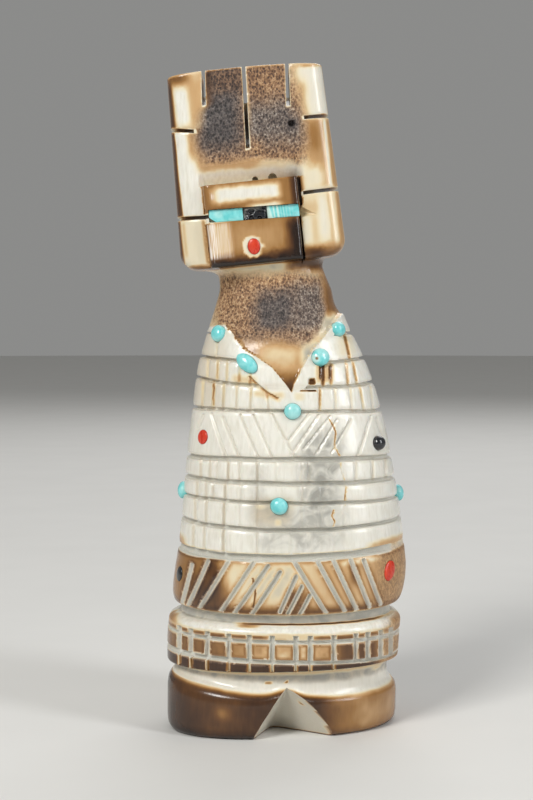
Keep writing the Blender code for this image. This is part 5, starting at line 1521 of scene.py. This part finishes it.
# Antler: the hard ivory wall of a deer or elk beam, ground, sawn, scorched with a flame and buffed. Buffing
# leaves a soft gloss over fine upright grain, scorching goes from gold through brown to black, saw cuts stay
# chalky grey, and where the wall is ground through, the matt spongy core shows as pits between pale ridges.
def antler_material(props):
    """Scorched and buffed antler, toned by the mesh's attributes."""
    made, tree, shader = new_material("antler_scorched_and_buffed")
    tone = {name: add(tree, "ShaderNodeAttribute", out="Fac", attribute_name=name) for name in CHANNELS}
    places = add(tree, "ShaderNodeTexCoord", out="Object")
    # grain streaks about 0.3 mm wide and 2 mm long, clouds about 2.5 mm, grit about 0.15 mm
    along = add(tree, "ShaderNodeMapping", links={"Vector": places},
                values={"Scale": (1000.0, 1000.0, 170.0)})
    plain = add(tree, "ShaderNodeMapping", links={"Vector": places}, values={"Scale": IN_MM})
    grain = add(tree, "ShaderNodeTexNoise", links={"Vector": along},
                values={"Scale": 2.6, "Detail": 4.0, "Roughness": 0.6})
    clouds = add(tree, "ShaderNodeTexNoise", links={"Vector": plain}, values={"Scale": 0.40, "Detail": 3.0})
    grit = add(tree, "ShaderNodeTexNoise", links={"Vector": plain},
               values={"Scale": 7.0, "Detail": 2.0, "Roughness": 0.7})
    ivory = add(tree, "ShaderNodeValToRGB", links={"Fac": grain},
                stops={0.30: "#DCD8CB", 0.62: "#ECEAE1", 0.48: "#E5E2D8"})
    cloudy = add(tree, "ShaderNodeMapRange", links={"Value": clouds},
                 values={"From Min": 0.35, "From Max": 0.70, "To Max": 0.35})
    bone = add(tree, "ShaderNodeMix", out=2, data_type="RGBA", links={0: cloudy, 6: ivory},
               values={7: colour("#DAD6C8")})
    # tan stain runs along the grain; the same channel paints shade under the belt, in the cut under the hem
    # and on the walls of the cut between the moccasins
    streaky = add(tree, "ShaderNodeMath", operation="MULTIPLY_ADD", links={0: grain, 2: tone["stain_and_painted_light"]},
                  values={1: 0.4})
    stain_and_shade_share = add(tree, "ShaderNodeMapRange", links={"Value": streaky},
                 values={"From Min": 0.25, "From Max": 1.20, "To Max": 0.95})
    bone = add(tree, "ShaderNodeMix", out=2, data_type="RGBA", links={0: stain_and_shade_share, 6: bone},
               values={7: colour("#B9A27C")})
    # grey marbling of the wall where it thins over the core; the same grey paints shade under the belt, in
    # the cut under the hem and under the chin
    marbled = add(tree, "ShaderNodeTexNoise", links={"Vector": plain},
                  values={"Scale": 0.55, "Detail": 5.0, "Distortion": 1.0})
    marbling = add(tree, "ShaderNodeMapRange", links={"Value": marbled},
                   values={"From Min": 0.36, "From Max": 0.60, "To Min": 0.25})
    greyed = add(tree, "ShaderNodeMath", operation="MULTIPLY", links={0: tone["grey"], 1: marbling})
    bone = add(tree, "ShaderNodeMix", out=2, data_type="RGBA", links={0: greyed, 6: bone},
               values={7: colour("#A09E96")})
    # scorch, with the painted shade and highlights that share its channel: the grain shifts a little how far
    # it goes
    shifted = add(tree, "ShaderNodeMapRange", links={"Value": grain},
                  values={"From Min": 0.30, "From Max": 0.70, "To Min": 0.97, "To Max": 1.03})
    scorch = add(tree, "ShaderNodeMath", operation="MULTIPLY", links={0: tone["scorch_and_painted_light"], 1: shifted})
    scorch_and_painted_light_ramp = add(tree, "ShaderNodeValToRGB", links={"Fac": scorch},
                   stops={0.0: "#EDE3C6", 1.0: "#150E0B", 0.16: "#E3D3AE", 0.30: "#C8A273", 0.45: "#9B7140",
                          0.60: "#704B27", 0.76: "#482D19", 0.88: "#291A11"})
    taken = add(tree, "ShaderNodeMapRange", links={"Value": scorch},
                values={"From Min": 0.03, "From Max": 0.20})
    skin = add(tree, "ShaderNodeMix", out=2, data_type="RGBA", links={0: taken, 6: bone, 7: scorch_and_painted_light_ramp})
    # buffing scratches of the face block, about 0.1 mm wide and 3 mm long, a little aslant, and a painted
    # highlight on the forehead in the same streaks
    aslant = add(tree, "ShaderNodeMapping", vector_type="TEXTURE", links={"Vector": places},
                 values={"Rotation": (0.0, math.radians(-4.0), 0.0), "Scale": (0.0001, 0.001, 0.003)})
    scored = add(tree, "ShaderNodeTexNoise", links={"Vector": aslant}, values={"Scale": 1.0, "Detail": 2.0})
    lines = add(tree, "ShaderNodeMapRange", links={"Value": scored},
                values={"From Min": 0.40, "From Max": 0.56})
    scratch_and_highlight_streaks = add(tree, "ShaderNodeMath", operation="MULTIPLY", links={0: tone["scratches_and_highlight"], 1: lines})
    skin = add(tree, "ShaderNodeMix", out=2, data_type="RGBA", links={0: scratch_and_highlight_streaks, 6: skin},
               values={7: colour("#EFE6DC")})
    # chalky floor of the saw cuts
    dusty = add(tree, "ShaderNodeMix", out=2, data_type="RGBA", links={0: grit},
                values={6: colour("#ACAAA1"), 7: colour("#D7D5CB")})
    skin = add(tree, "ShaderNodeMix", out=2, data_type="RGBA", links={0: tone["fresh"], 6: skin, 7: dusty})
    # spongy core: pale ridges round pits about 0.25 mm wide, golden where clean and grey black where charred
    porous = add(tree, "ShaderNodeMapping", links={"Vector": places},
                 values={"Scale": (1000.0, 1000.0, 720.0)})
    knots = add(tree, "ShaderNodeTexNoise", out="Color", links={"Vector": plain},
                values={"Scale": 4.0, "Detail": 2.0})
    tangled = add(tree, "ShaderNodeMix", out=2, data_type="RGBA", blend_type="LINEAR_LIGHT",
                  links={6: porous, 7: knots}, values={0: 0.10})
    pits = add(tree, "ShaderNodeTexVoronoi", links={"Vector": tangled}, values={"Scale": 4.0})
    hollow = add(tree, "ShaderNodeMapRange", links={"Value": pits},
                 values={"From Min": 0.12, "From Max": 0.62, "To Min": 0.55, "To Max": 0.0})
    sunk = add(tree, "ShaderNodeMath", operation="MULTIPLY_ADD", links={0: tone["pit"], 2: hollow},
               values={1: 0.28})
    speckled = add(tree, "ShaderNodeMath", operation="MULTIPLY_ADD", links={0: grit, 2: sunk},
                   values={1: 1.0})
    toned = add(tree, "ShaderNodeMath", operation="MULTIPLY_ADD", links={0: tone["scorch_and_painted_light"], 2: speckled},
                values={1: 0.5})
    shade = add(tree, "ShaderNodeMapRange", links={"Value": toned},
                values={"From Min": 0.40, "From Max": 1.42})
    golden = add(tree, "ShaderNodeValToRGB", links={"Fac": shade},
                 stops={0.0: "#E2C9A2", 1.0: "#38251A", 0.22: "#BC956A", 0.50: "#8E6744", 0.80: "#5C3E29"})
    charred = add(tree, "ShaderNodeValToRGB", links={"Fac": shade},
                  stops={0.0: "#CBC3BB", 1.0: "#1D1817", 0.15: "#8F8780", 0.32: "#645C58", 0.52: "#4D4543",
                         0.75: "#332D2C"})
    spongy = add(tree, "ShaderNodeMix", out=2, data_type="RGBA",
                 links={0: tone["char"], 6: golden, 7: charred})
    skin = add(tree, "ShaderNodeMix", out=2, data_type="RGBA", links={0: tone["core"], 6: skin, 7: spongy})
    tree.links.new(skin, shader.inputs["Base Color"])
    # buffed skin about 0.2 rough, cuts and core 0.6
    matt = add(tree, "ShaderNodeMath", operation="MAXIMUM", links={0: tone["fresh"], 1: tone["core"]})
    gloss = add(tree, "ShaderNodeMapRange", links={"Value": matt},
                values={"To Min": props.polish, "To Max": 0.60})
    worn = add(tree, "ShaderNodeMath", operation="MULTIPLY_ADD", links={0: grit, 2: gloss}, values={1: 0.08})
    tree.links.new(worn, shader.inputs["Roughness"])
    # grain and buffing scratches, a few hundredths of a millimetre deep
    depth = add(tree, "ShaderNodeMath", operation="MULTIPLY_ADD", links={0: grit, 2: grain}, values={1: 0.4})
    dips = add(tree, "ShaderNodeMath", operation="MULTIPLY", links={0: shade, 1: tone["core"]})
    relief = add(tree, "ShaderNodeMath", operation="MULTIPLY_ADD", links={0: dips, 2: depth},
                 values={1: -3.2})
    raised = add(tree, "ShaderNodeBump", links={"Height": relief},
                 values={"Strength": 0.5, "Distance": 0.00003})
    tree.links.new(raised, shader.inputs["Normal"])
    shader.inputs["IOR"].default_value = 1.54
    shader.inputs["Subsurface Weight"].default_value = 0.12
    shader.inputs["Subsurface Radius"].default_value = (1.0, 0.62, 0.38)
    shader.inputs["Subsurface Scale"].default_value = 0.0009
    return made


def polished(tree, shader, tone, wear, rough, grain, relief):
    """Ends a stone: its colour, roughness from low to high with the wear, relief of a strength and depth."""
    tree.links.new(tone, shader.inputs["Base Color"])
    worn = add(tree, "ShaderNodeMapRange", links={"Value": wear},
               values={"To Min": rough[0], "To Max": rough[1]})
    tree.links.new(worn, shader.inputs["Roughness"])
    fine = add(tree, "ShaderNodeBump", links={"Height": grain},
               values={"Strength": relief[0], "Distance": relief[1]})
    tree.links.new(fine, shader.inputs["Normal"])


# Turquoise: natural stone in its brown matrix, ground to a dome on a wheel and polished to a waxy gloss. It
# is mottled in pale and deeper blue-green, and pale stripes and spots of brown matrix break the blue.
def turquoise_material(props):
    """Polished turquoise with paler clouds, stripes and spots of brown matrix."""
    made, tree, shader = new_material("turquoise_polished")
    places = add(tree, "ShaderNodeTexCoord", out="Object")
    plain = add(tree, "ShaderNodeMapping", links={"Vector": places}, values={"Scale": IN_MM})
    mottle = add(tree, "ShaderNodeTexNoise", links={"Vector": plain},
                 values={"Scale": 1.1, "Detail": 4.0, "Distortion": 0.6})
    body = add(tree, "ShaderNodeMapRange", links={"Value": mottle},
               values={"From Min": 0.35, "From Max": 0.65})
    deep = add(tree, "ShaderNodeMix", out=2, data_type="RGBA", links={0: body},
               values={6: tuple(props.turquoise_deep), 7: tuple(props.turquoise)})
    pale = add(tree, "ShaderNodeAttribute", out="Fac", attribute_name="pale")
    blue = add(tree, "ShaderNodeMix", out=2, data_type="RGBA", links={0: pale, 6: deep},
               values={7: colour("#C9EBE4")})
    matrix = add(tree, "ShaderNodeAttribute", out="Fac", attribute_name="matrix")
    stone = add(tree, "ShaderNodeMix", out=2, data_type="RGBA", links={0: matrix, 6: blue},
                values={7: colour("#8A6A4C")})
    polished(tree, shader, stone, mottle, (0.10, 0.24), mottle, (0.3, 0.00003))
    shader.inputs["IOR"].default_value = 1.61
    return made


# Coral: red branch coral, ground flush and polished. Even in colour, with faint pale growth lines.
def coral_material(props):
    """Polished red coral."""
    made, tree, shader = new_material("coral_polished")
    places = add(tree, "ShaderNodeTexCoord", out="Object")
    along = add(tree, "ShaderNodeMapping", links={"Vector": places},
                values={"Scale": (1000.0, 1000.0, 300.0)})
    growth = add(tree, "ShaderNodeTexNoise", links={"Vector": along}, values={"Scale": 2.4, "Detail": 3.0})
    faint = add(tree, "ShaderNodeMapRange", links={"Value": growth},
                values={"From Min": 0.35, "From Max": 0.70, "To Max": 0.7})
    red = add(tree, "ShaderNodeMix", out=2, data_type="RGBA", links={0: faint},
              values={6: tuple(props.coral), 7: colour("#DE4A2A")})
    polished(tree, shader, red, growth, (0.20, 0.36), growth, (0.3, 0.00002))
    shader.inputs["IOR"].default_value = 1.55
    return made


# Jet: hard black lignite, cut and polished to a mirror. The piece between the eyes is chipped and shows its
# grey matrix.
def jet_material(props):
    """Polished jet, with grey rock where its matrix shows."""
    made, tree, shader = new_material("jet_polished")
    places = add(tree, "ShaderNodeTexCoord", out="Object")
    plain = add(tree, "ShaderNodeMapping", links={"Vector": places}, values={"Scale": IN_MM})
    grains = add(tree, "ShaderNodeTexNoise", links={"Vector": plain},
                 values={"Scale": 3.0, "Detail": 4.0, "Roughness": 0.7})
    matrix = add(tree, "ShaderNodeAttribute", out="Fac", attribute_name="matrix")
    rock = add(tree, "ShaderNodeValToRGB", links={"Fac": grains}, stops={0.35: "#2E2E2D", 0.65: "#83827B"})
    black = add(tree, "ShaderNodeMix", out=2, data_type="RGBA", links={0: grains},
                values={6: tuple(props.jet), 7: colour("#24262B")})
    stone = add(tree, "ShaderNodeMix", out=2, data_type="RGBA", links={0: matrix, 6: black, 7: rock})
    polished(tree, shader, stone, matrix, (0.12, 0.6), grains, (0.4, 0.00003))
    shader.inputs["IOR"].default_value = 1.66
    return made


# Card: paper pulp pressed and rolled smooth, laid as the floor. Matt and pale grey, with a faint mottle.
def card_material():
    """Pale matt card."""
    made, tree, shader = new_material("floor_card")
    places = add(tree, "ShaderNodeTexCoord", out="Object")
    mottle = add(tree, "ShaderNodeTexNoise", links={"Vector": places}, values={"Scale": 60.0, "Detail": 2.0})
    card = add(tree, "ShaderNodeMix", out=2, data_type="RGBA", links={0: mottle},
               values={6: colour("#D9D8D5"), 7: colour("#DFDEDB")})
    tree.links.new(card, shader.inputs["Base Color"])
    shader.inputs["Roughness"].default_value = 0.85
    return made


def give_tone(obj, tone):
    """Stores each channel as a value at every point of the mesh."""
    for name, values in tone.items():
        store = obj.data.attributes.get(name) or obj.data.attributes.new(name, "FLOAT", "POINT")
        store.data.foreach_set("value", np.asarray(values, dtype=np.float32))


def places_of(obj):
    """The mesh's points as an array."""
    points = np.empty(3 * len(obj.data.vertices), dtype=np.float32)
    obj.data.vertices.foreach_get("co", points)
    return points.reshape(-1, 3).astype(float)


def finished(obj, node, material, tone, sharp=40.0):
    """Scales a piece from units to metres, gives it its tone and material, and puts it in a node's place."""
    give_tone(obj, tone)
    points = places_of(obj) * UNIT
    obj.data.vertices.foreach_set("co", points.astype(np.float32).ravel())
    obj.data.update()
    obj.data.shade_smooth()
    obj.data.set_sharp_from_angle(angle=math.radians(sharp))
    obj.data.materials.clear()
    obj.data.materials.append(material)
    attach(obj, "root")
    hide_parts(node)


def make_carving(props):
    """The carved antler: skin on a grid of rows by columns, thinned, then sawn, drilled and pocketed."""
    rows, first, last = carving_skin()
    carving = closed_mesh("maiden_antler", rows, first, last)
    thin_out(carving, props.triangles)
    carve(carving, slot_wheels() + face_cutters() + [overrun_cutter(), feet_cutter()] + stone_pockets())
    tone = painted(places_of(carving))
    finished(carving, "antler_carving", antler_material(props), tone)
    return carving


def dome(name, seat, width, length, rise):
    """A polished stone: straight sides from its seat up, then a quarter round to its crown."""
    place, outward = seat[:2]
    angle = np.linspace(0.0, math.pi / 2, 18)[:-1]
    shares = np.concatenate(((0.5, 0.96, 1.0, 1.0), np.cos(angle)))
    crown = rise * (0.15 + 0.85 * np.sin(angle))
    heights = np.concatenate(((-STONE_SEAT, -STONE_SEAT, -STONE_SEAT + 0.05, 0.0), crown))
    rows = oval_rows(seat, width, length, shares, heights, 0.03)
    uneven = 0.03 * (cloud(rows, 0.8 * MM, 41) - 0.5) * np.clip(heights / rise, 0.0, 1.0)[:, None]
    rows = rows + outward * uneven[..., None]
    return closed_mesh(name, rows, place - outward * STONE_SEAT, place + outward * rise)


def bar(name, left, right, chamfer, chip):
    """A flat stone of the eye channel: rounded oblong loops side by side along u, smaller at both ends."""
    thick, tall = BAR_THICKNESS / 2, BAR_HEIGHT / 2
    turns = half_ring_turns(thick, tall, BAR_SQUARENESS, 0.0, 2 * math.pi, BAR_SIDES + 1)[:-1]
    y, w = on_oval(turns, BAR_SQUARENESS)
    even = np.linspace(0.0, 1.0, BAR_COLUMNS)
    closer_at_ends = (1.0 - np.cos(np.linspace(0.0, math.pi, BAR_COLUMNS))) / 2
    low, high = left + BAR_GAP, right - BAR_GAP
    u = (low + (high - low) * (0.25 * closer_at_ends + 0.75 * even))[:, None]
    drawn_in = corner(BAR_ROUND, np.minimum(u - low, high - u))
    w = EYE_LEVEL + w * (tall - drawn_in)
    foot = np.clip((EYE_LEVEL - tall + 0.55 - w) / 0.55, 0.0, 1.0) * chamfer
    deep = -BAR_FRONT + thick + y * (thick - drawn_in)
    u = np.maximum(u, low + foot) + 0.0 * w
    points = np.stack((u, w, 0.0 * u), axis=-1)
    broken = step(0.35, 0.75, cloud(points, 0.45, 51)) * chip + 0.03 * cloud(points, 0.3, 52)
    return capped(name, head_place(u, deep + broken * (y < -0.93), w + EYE_LEAN * u))


def make_dress_stones(props):
    """The cabochons, dots and beads let into the dress: every round stone but the last, the mouth's."""
    materials = {"turquoise": turquoise_material(props), "coral": coral_material(props),
                 "jet": jet_material(props)}
    for name, kind, seat, width, length, rise in stone_places()[:-1]:
        stone = dome("stone_" + name, seat, width, length, rise)
        points = places_of(stone)
        tone = {"matrix": np.zeros(len(points))}
        if kind == "turquoise":
            tone["pale"] = 0.35 * step(0.45, 0.75, cloud(points, 1.1 * MM, 61))
        if name == "neckline_turquoise_3":
            x, z = points[:, 0] - seat[0][0], points[:, 2] - seat[0][2]
            tone["matrix"] = 1.0 - step(0.10, 0.24, np.hypot(x + 0.42, z + 0.10))
            ring = 0.8 * (1.0 - step(0.3, 0.6, np.hypot(x + 0.55, z + 0.1)))
            tone["pale"] = np.maximum(tone["pale"], ring)
        finished(stone, name, materials[kind], tone, 60.0)


def make_face_stones(props):
    """The two turquoise bars, the chipped jet between them and the coral at the mouth."""
    turquoise, jet = turquoise_material(props), jet_material(props)
    name, kind, seat, width, length, rise = stone_places()[-1]
    coral = dome("stone_" + name, seat, width, length, rise)
    finished(coral, name, coral_material(props), {}, 60.0)
    pieces = (
        ("face_left_turquoise", "turquoise", turquoise, EYE_LEFT, JET_LEFT, 0.72, 0.03),
        ("face_centre_jet", "jet", jet, JET_LEFT, JET_RIGHT, 0.0, 0.26),
        ("face_right_turquoise", "turquoise", turquoise, JET_RIGHT, EYE_RIGHT, 0.0, 0.03),
    )
    for name, kind, material, left, right, chamfer, chip in pieces:
        stone = bar("stone_" + name, left, right, chamfer, chip)
        u, w = in_head(places_of(stone))
        finished(stone, name, material, bar_tone(name, u, w), 50.0)


def bar_tone(name, u, w):
    """Pale stripes and end of the right bar, a pale cloud in the left one, grey rock round the jet."""
    w = w - EYE_LEAN * u
    if name == "face_centre_jet":
        noise = cloud(np.stack((u, w, 0.0 * u), axis=-1), 0.35, 71) - 0.5
        top = step(-5.05, -4.85, w + 0.35 * noise) * (1.0 - step(0.1, 0.5, u))
        left = (1.0 - step(-1.62, -1.38, u + 0.4 * noise)) * step(-5.85, -5.55, w)
        return {"matrix": np.maximum(top, 0.8 * left)}
    if name == "face_right_turquoise":
        stray = u + 0.05 * (w - EYE_LEVEL)
        pale = np.zeros(len(u))
        for place, half, amount in BAR_STRIPES:
            pale = np.maximum(pale, amount * step(half + 0.05, half - 0.03, np.abs(stray - place)))
        end = 1.0 - step(1.20, 1.42, u + 0.22 * (w - EYE_LEVEL))
        return {"pale": np.maximum(pale, end), "matrix": 0.30 * (1.0 - step(0.95, 1.25, u))}
    spot = np.hypot((u + 4.45) / 1.2, w - EYE_LEVEL - 0.15)
    return {"pale": 0.35 * (1.0 - step(0.2, 0.6, spot)), "matrix": 0.0 * u}


def soft_light(name, place, size, power, tint):
    """An oblong studio light that faces the figure, in metres and watts."""
    lamp = bpy.data.lights.new(name, "AREA")
    lamp.shape = "RECTANGLE"
    lamp.size, lamp.size_y = size
    lamp.energy = power
    lamp.color = colour(tint)[:3]
    made = bpy.data.objects.new(name, lamp)
    made.location = place
    made.rotation_euler = (Vector(LIGHTS_AIM) - Vector(place)).to_track_quat("-Z", "Y").to_euler()
    bpy.context.scene.collection.objects.link(made)


def make_floor():
    """A round pale floor of rings about one middle point."""
    turns = np.linspace(0.0, 2 * math.pi, FLOOR_SIDES, endpoint=False)
    x, y = rings(turns, np.linspace(0.01, FLOOR_RADIUS, FLOOR_RINGS))
    points = np.concatenate((np.stack((x, y, 0.0 * x), axis=-1).reshape(-1, 3), np.zeros((1, 3))))
    index = np.arange(x.size).reshape(x.shape)
    following = np.roll(index, -1, axis=1)
    quads = np.stack((index[:-1], index[1:], following[1:], following[:-1]), axis=-1).reshape(-1, 4)
    fan = np.stack((index[0], following[0], np.full(len(turns), x.size)), axis=-1)
    sizes = np.concatenate((np.full(len(quads), 4), np.full(len(fan), 3)))
    floor = mesh_object("floor", points, np.concatenate((quads.ravel(), fan.ravel())), sizes)
    floor.data.materials.append(card_material())


def place_camera(focal_length):
    """The camera, where the photo was taken from."""
    lens = bpy.data.cameras.new("camera")
    lens.lens = focal_length
    lens.sensor_width = 36.0
    lens.clip_start = 0.01
    lens.shift_y = CAMERA_SHIFT
    camera = bpy.data.objects.new("camera", lens)
    camera.location = Vector(CAMERA_PLACE)
    camera.rotation_euler = (Vector(CAMERA_TARGET) - camera.location).to_track_quat("-Z", "Y").to_euler()
    bpy.context.scene.collection.objects.link(camera)
    bpy.context.scene.camera = camera


def make_stage(props):
    """The floor, three soft lights, an even pale surround and the camera."""
    make_floor()
    half = props.key_power * 0.5
    soft_light("key_light", (-0.24, -0.36, 0.36), (0.16, 0.20), props.key_power, "#FFFEFA")
    soft_light("fill_light", (0.36, -0.24, 0.24), (0.10, 0.34), half, "#FAFCFF")
    soft_light("back_light", (0.10, 0.42, 0.40), (0.40, 0.30), half, "#FFFFFF")
    world = bpy.data.worlds.new("surround")
    world.use_nodes = True
    surround = world.node_tree.nodes["Background"]
    surround.inputs["Color"].default_value = colour("#DDDDDB")
    surround.inputs["Strength"].default_value = props.surround
    bpy.context.scene.world = world
    bpy.context.scene.view_settings.view_transform = "Standard"
    place_camera(props.lens)


class AntlerSettings(bpy.types.PropertyGroup):
    """What a maker would change about the antler."""

    triangles: bpy.props.IntProperty(
        name="Triangles", description="How many triangles the skin is thinned to", default=MOST_TRIANGLES,
        min=20000, max=195000)
    polish: bpy.props.FloatProperty(
        name="Polish", description="Roughness of the buffed antler", default=0.17, min=0.05, max=1.0,
        subtype="FACTOR")


class StoneSettings(bpy.types.PropertyGroup):
    """The colours of the stones."""

    turquoise: bpy.props.FloatVectorProperty(
        name="Turquoise", description="Paler colour of the turquoise", default=colour("#93DFE0"),
        size=4, min=0.0, max=1.0, subtype="COLOR")
    turquoise_deep: bpy.props.FloatVectorProperty(
        name="Deep turquoise", description="Deeper colour of the turquoise", default=colour("#68CBCD"),
        size=4, min=0.0, max=1.0, subtype="COLOR")
    coral: bpy.props.FloatVectorProperty(
        name="Coral", description="Colour of the coral", default=colour("#C42D17"),
        size=4, min=0.0, max=1.0, subtype="COLOR")
    jet: bpy.props.FloatVectorProperty(
        name="Jet", description="Colour of the jet", default=colour("#101115"),
        size=4, min=0.0, max=1.0, subtype="COLOR")


class StageSettings(bpy.types.PropertyGroup):
    """The lights and the camera."""

    key_power: bpy.props.FloatProperty(
        name="Key light", description="Power of the main light in watts", default=1.95, min=0.0)
    surround: bpy.props.FloatProperty(
        name="Surround", description="Strength of the even light from all round", default=0.36, min=0.0)
    lens: bpy.props.FloatProperty(
        name="Lens", description="Focal length", default=75.33, min=20.0, max=300.0,
        subtype="DISTANCE_CAMERA", unit="CAMERA")


class MAIDEN_OT_carving(bpy.types.Operator):
    """Carve the maiden from antler"""

    bl_idname = "maiden.carving"
    bl_label = "Carve the antler"

    def execute(self, context):
        carving = make_carving(context.scene.maiden_antler)
        if len(carving.data.polygons) < 1000:
            raise RuntimeError("the saw cuts took the carving away")
        return {"FINISHED"}


class MAIDEN_OT_dress_stones(bpy.types.Operator):
    """Set the stones of the dress"""

    bl_idname = "maiden.dress_stones"
    bl_label = "Set the dress stones"

    def execute(self, context):
        make_dress_stones(context.scene.maiden_stones)
        return {"FINISHED"}


class MAIDEN_OT_face_stones(bpy.types.Operator):
    """Set the stones of the eyes and the mouth"""

    bl_idname = "maiden.face_stones"
    bl_label = "Set the face stones"

    def execute(self, context):
        make_face_stones(context.scene.maiden_stones)
        return {"FINISHED"}


class MAIDEN_OT_stage(bpy.types.Operator):
    """Lay the floor, light it and place the camera"""

    bl_idname = "maiden.stage"
    bl_label = "Light the stage"

    def execute(self, context):
        make_stage(context.scene.maiden_stage)
        return {"FINISHED"}


class VIEW3D_PT_maiden(bpy.types.Panel):
    """The maker's panel in the sidebar"""

    bl_label = "Maiden"
    bl_space_type = "VIEW_3D"
    bl_region_type = "UI"
    bl_category = "Maiden"

    def draw(self, context):
        scene = context.scene
        for settings, operators in (
            (scene.maiden_antler, ("maiden.carving",)),
            (scene.maiden_stones, ("maiden.dress_stones", "maiden.face_stones")),
            (scene.maiden_stage, ("maiden.stage",)),
        ):
            box = self.layout.box()
            for name in settings.__annotations__:
                box.prop(settings, name)
            for operator in operators:
                box.operator(operator)


CLASSES = (AntlerSettings, StoneSettings, StageSettings, MAIDEN_OT_carving, MAIDEN_OT_dress_stones,
           MAIDEN_OT_face_stones, MAIDEN_OT_stage, VIEW3D_PT_maiden)


def register():
    """Adds the classes and their settings to Blender."""
    for kind in CLASSES:
        bpy.utils.register_class(kind)
    bpy.types.Scene.maiden_antler = bpy.props.PointerProperty(type=AntlerSettings)
    bpy.types.Scene.maiden_stones = bpy.props.PointerProperty(type=StoneSettings)
    bpy.types.Scene.maiden_stage = bpy.props.PointerProperty(type=StageSettings)


def unregister():
    """Takes the classes and their settings out of Blender."""
    del bpy.types.Scene.maiden_antler
    del bpy.types.Scene.maiden_stones
    del bpy.types.Scene.maiden_stage
    for kind in reversed(CLASSES):
        bpy.utils.unregister_class(kind)


def main():
    """Makes every piece in order."""
    register()
    bpy.ops.maiden.carving()
    bpy.ops.maiden.dress_stones()
    bpy.ops.maiden.face_stones()
    bpy.ops.maiden.stage()


if __name__ == "__main__":
    main()
